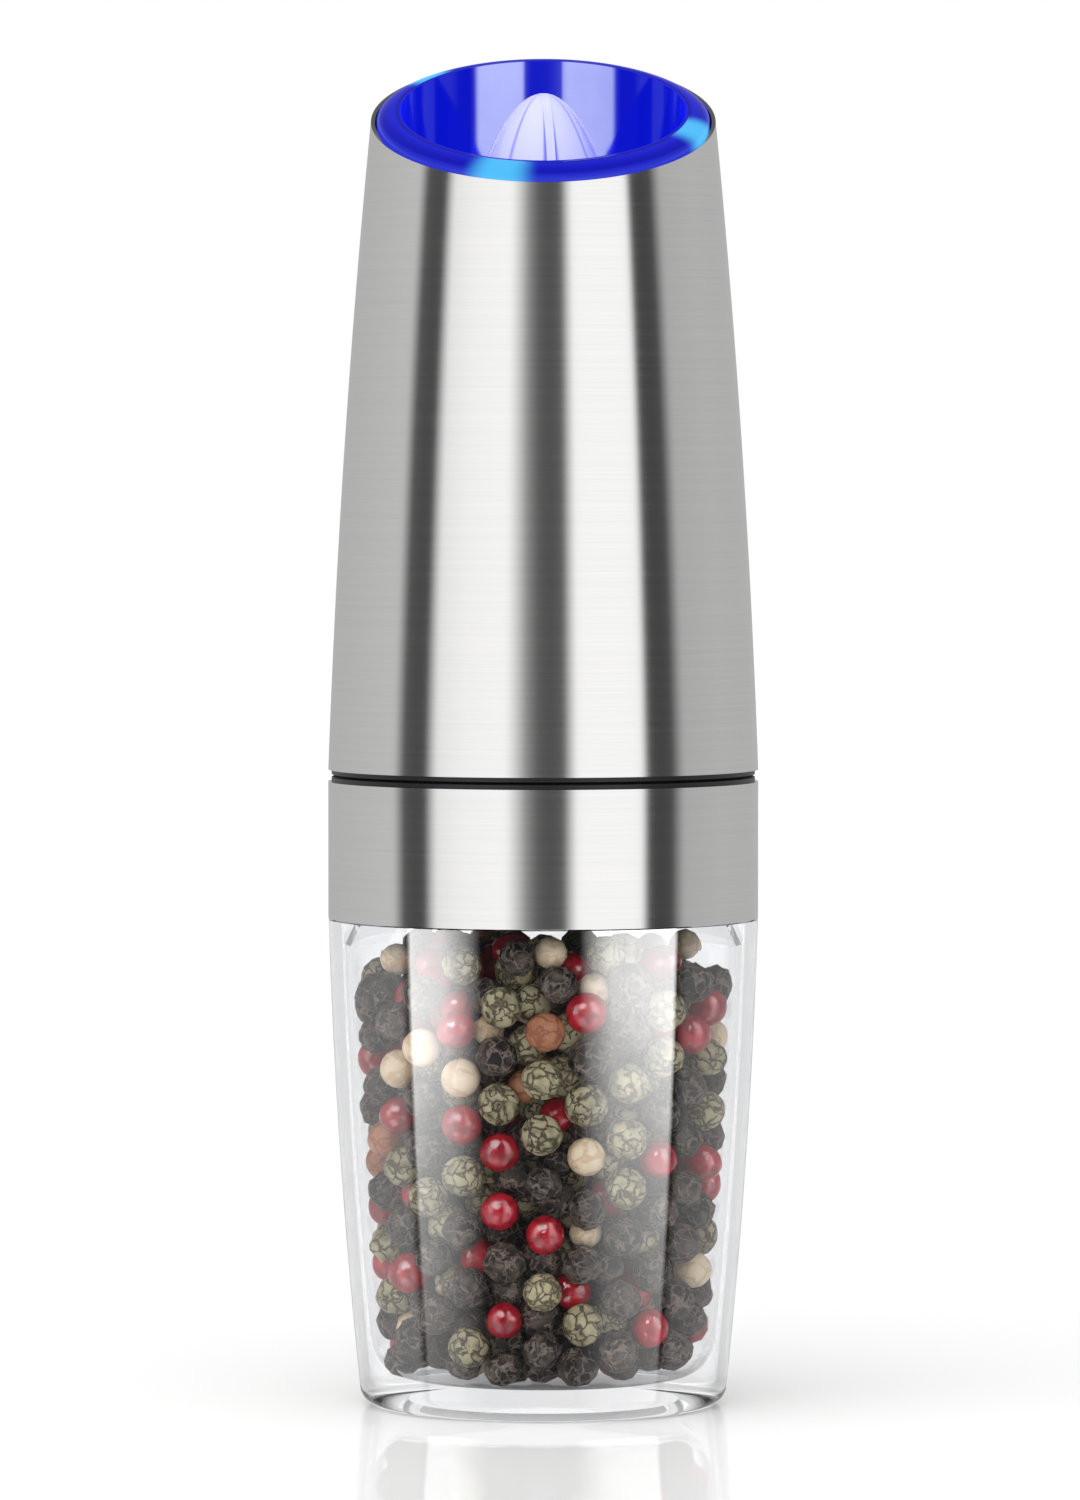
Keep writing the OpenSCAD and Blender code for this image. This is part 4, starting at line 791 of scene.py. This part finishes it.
def buildFloor():
    bm = bmesh.new()
    bmesh.ops.create_grid(bm, x_segments=1, y_segments=1, size=floorLook["size"])
    bm.normal_update()
    mesh = bpy.data.meshes.new("floor")
    bm.to_mesh(mesh)
    bm.free()
    floor = bpy.data.objects.new("floor", mesh)
    bpy.context.scene.collection.objects.link(floor)
    floor.visible_glossy = False  # metal shows the studio, not the floor
    material = bpy.data.materials.new("floorPaper")
    material.use_nodes = True
    tree = material.node_tree
    tree.nodes.remove(tree.nodes["Principled BSDF"])
    paper = addNode(tree, "ShaderNodeBsdfDiffuse", {"Color": floorLook["colour"]}).outputs[0]
    sheen = addNode(tree, "ShaderNodeBsdfGlossy", {"Color": (1, 1, 1, 1), "Roughness": 0.0}).outputs[0]
    mixed = addNode(tree, "ShaderNodeMixShader", {0: floorLook["sheen"], 1: paper, 2: sheen}).outputs[0]
    path = addNode(tree, "ShaderNodeLightPath").outputs
    through = addMath(tree, "MULTIPLY", path["Is Transmission Ray"], floorLook["through"])
    fill = addNode(tree, "ShaderNodeEmission", {"Strength": through}).outputs[0]
    whole = addNode(tree, "ShaderNodeAddShader", {0: mixed, 1: fill}).outputs[0]
    tree.links.new(whole, tree.nodes["Material Output"].inputs["Surface"])
    mesh.materials.append(material)


studio = dict(
    # degrees round the mill from the camera's side, and the light that brushed steel and the jar see there
    steelBands=[(-180, 0.46), (-110, 0.58), (-87, 0.62), (-80, 0.09), (-66, 0.06), (-59, 0.98), (-42, 1.1),
                (-20, 1.16), (-15, 0.8), (-9, 0.3), (-3, 0.12), (3, 0.09), (11, 0.1), (18, 1.16), (54, 1.16),
                (58, 0.05), (73, 0.07), (81, 0.5), (110, 0.54), (180, 0.48)],
    jarSides=[(-180, 1.0), (-175, 1.0), (-174, 0.3), (-164, 0.5), (-150, 0.3), (-138, 0.15), (-122, 0.7),
              (-84, 1.3), (-78, 0.05), (78, 0.05), (84, 0.7), (122, 0.6), (138, 0.15), (150, 0.3), (164, 0.5),
              (174, 0.3), (175, 1.0), (180, 1.0)],
    jarStrips=[(-78, 0.0), (-76, 7.6), (-56, 6.6), (-46, 3.4), (-34, 0.0), (20, 0.0), (38, 6.4), (66, 7.8),
               (75, 7.9), (77, 0.0)],
    # the strips fade to a tenth between these heights of the ray
    stripFade=(-0.29, -0.14),
    # a ramp holds no more than 1, so the lights above are kept as shares of these
    bandTop=4.0, stripTop=8.0,
    # rays that rise or fall more than this see the ceiling or the floor
    ceiling=0.12, ceilingSpan=(0.4, 0.6), floorLight=0.95, floorSpan=(-0.65, -0.4),
    # a lamp that only the berries show, as small highlights
    glint=(-0.35, -0.62, 0.7), glintLight=14.0, glintSpan=(0.93, 0.96),
    # where the soft boxes are, and how bright
    boxes=[((-0.4, -0.62, 0.6), 1.6), ((0.62, -0.62, 0.5), 0.6), ((0.1, 0.85, 0.5), 0.5)],
    boxSpan=(0.35, 0.95), ambient=0.3,
)


def buildWorld():
    world = bpy.data.worlds.new("studio")
    bpy.context.scene.world = world
    world.use_nodes = True
    tree = world.node_tree
    look = addNode(tree, "ShaderNodeTexCoord").outputs["Generated"]
    aim = addNode(tree, "ShaderNodeSeparateXYZ", {0: look}).outputs
    path = addNode(tree, "ShaderNodeLightPath").outputs
    turn = addMath(tree, "ARCTAN2", aim["X"], addMath(tree, "MULTIPLY", aim["Y"], -1.0))
    share = addMath(tree, "MULTIPLY_ADD", turn, 1 / math.tau, 0.5)
    bandTop, stripTop = studio["bandTop"], studio["stripTop"]

    def lightAround(bands, top):
        return addRamp(tree, share, [(angle / 360 + 0.5, level / top) for angle, level in bands])

    def lightAt(place, span, level):
        near = addVector(tree, "DOT_PRODUCT", look, Vector(place).normalized())
        return addRange(tree, near, *span, 0.0, level, smooth=True)

    high = addRange(tree, aim["Z"], *studio["ceilingSpan"], 0.0, 1.0)
    steelRoom = addMix(tree, high, lightAround(studio["steelBands"], bandTop),
                       grey(studio["ceiling"] / bandTop))

    fade = addMath(tree, "POWER", 10.0, addRange(tree, aim["Z"], *studio["stripFade"], -1.0, 0.0))
    strips = scaleVector(tree, lightAround(studio["jarStrips"], stripTop),
                         addMath(tree, "MULTIPLY", fade, stripTop / bandTop))
    jarRoom = addVector(tree, "ADD", lightAround(studio["jarSides"], bandTop), strips)
    glint = lightAt(studio["glint"], studio["glintSpan"], studio["glintLight"] / bandTop)
    jarRoom = addVector(tree, "ADD", jarRoom, glint)
    below = addRange(tree, aim["Z"], *studio["floorSpan"], 1.0, 0.0)
    jarRoom = addMix(tree, below, jarRoom, grey(studio["floorLight"] / bandTop))
    upwards = addMath(tree, "MULTIPLY", addMath(tree, "GREATER_THAN", aim["Z"], 0.0),
                      addMath(tree, "LESS_THAN", path["Transmission Depth"], 0.5))
    jarRoom = addMix(tree, upwards, jarRoom, grey(1 / bandTop))  # the floor mirrors a plain white room

    mirror = addMix(tree, path["Is Singular Ray"], steelRoom, jarRoom)  # steel isn't a perfect mirror
    mirrorLight = scaleVector(tree, mirror, bandTop)
    soft = studio["ambient"]
    for place, level in studio["boxes"]:
        soft = addMath(tree, "ADD", soft, lightAt(place, studio["boxSpan"], level))
    unlit = addMath(tree, "LESS_THAN", path["Diffuse Depth"], 0.5)
    mirrored = addMath(tree, "MULTIPLY", unlit, addMath(tree, "GREATER_THAN", path["Glossy Depth"], 0.5))
    seen = addMix(tree, unlit, soft, grey(1))
    light = addMix(tree, mirrored, seen, mirrorLight)
    tree.links.new(light, tree.nodes["Background"].inputs["Color"])


keyLamp = dict(size=1.0, energy=1.8, place=(-0.5, -0.9, 1.1), aim=(0, 0, 0.08))


def pointAt(thing, aim):
    thing.rotation_euler = (Vector(aim) - thing.location).to_track_quat("-Z", "Y").to_euler()


def buildLamp():
    lamp = bpy.data.lights.new("keyLamp", "AREA")
    lamp.shape = "DISK"
    lamp.size = keyLamp["size"]
    lamp.energy = keyLamp["energy"]
    key = bpy.data.objects.new("keyLamp", lamp)
    key.location = keyLamp["place"]
    pointAt(key, keyLamp["aim"])
    key.visible_glossy = False
    bpy.context.scene.collection.objects.link(key)


view = dict(place=(0, -1.2915, 0.1494), aim=(-0.0005, 0, 0.0998), focalPixels=8484, framePixels=1500,
            sensor=36, clip=(0.01, 100))


def buildCamera():
    camera = bpy.data.objects.new("camera", bpy.data.cameras.new("camera"))
    camera.location = view["place"]
    pointAt(camera, view["aim"])
    camera.data.sensor_width = view["sensor"]
    camera.data.lens = view["focalPixels"] * view["sensor"] / view["framePixels"]
    camera.data.clip_start, camera.data.clip_end = view["clip"]
    bpy.context.scene.collection.objects.link(camera)
    bpy.context.scene.camera = camera


buildFloor()
buildWorld()
buildLamp()
buildCamera()
bpy.context.scene.view_settings.view_transform = "Standard"
print("floor, light and camera set")
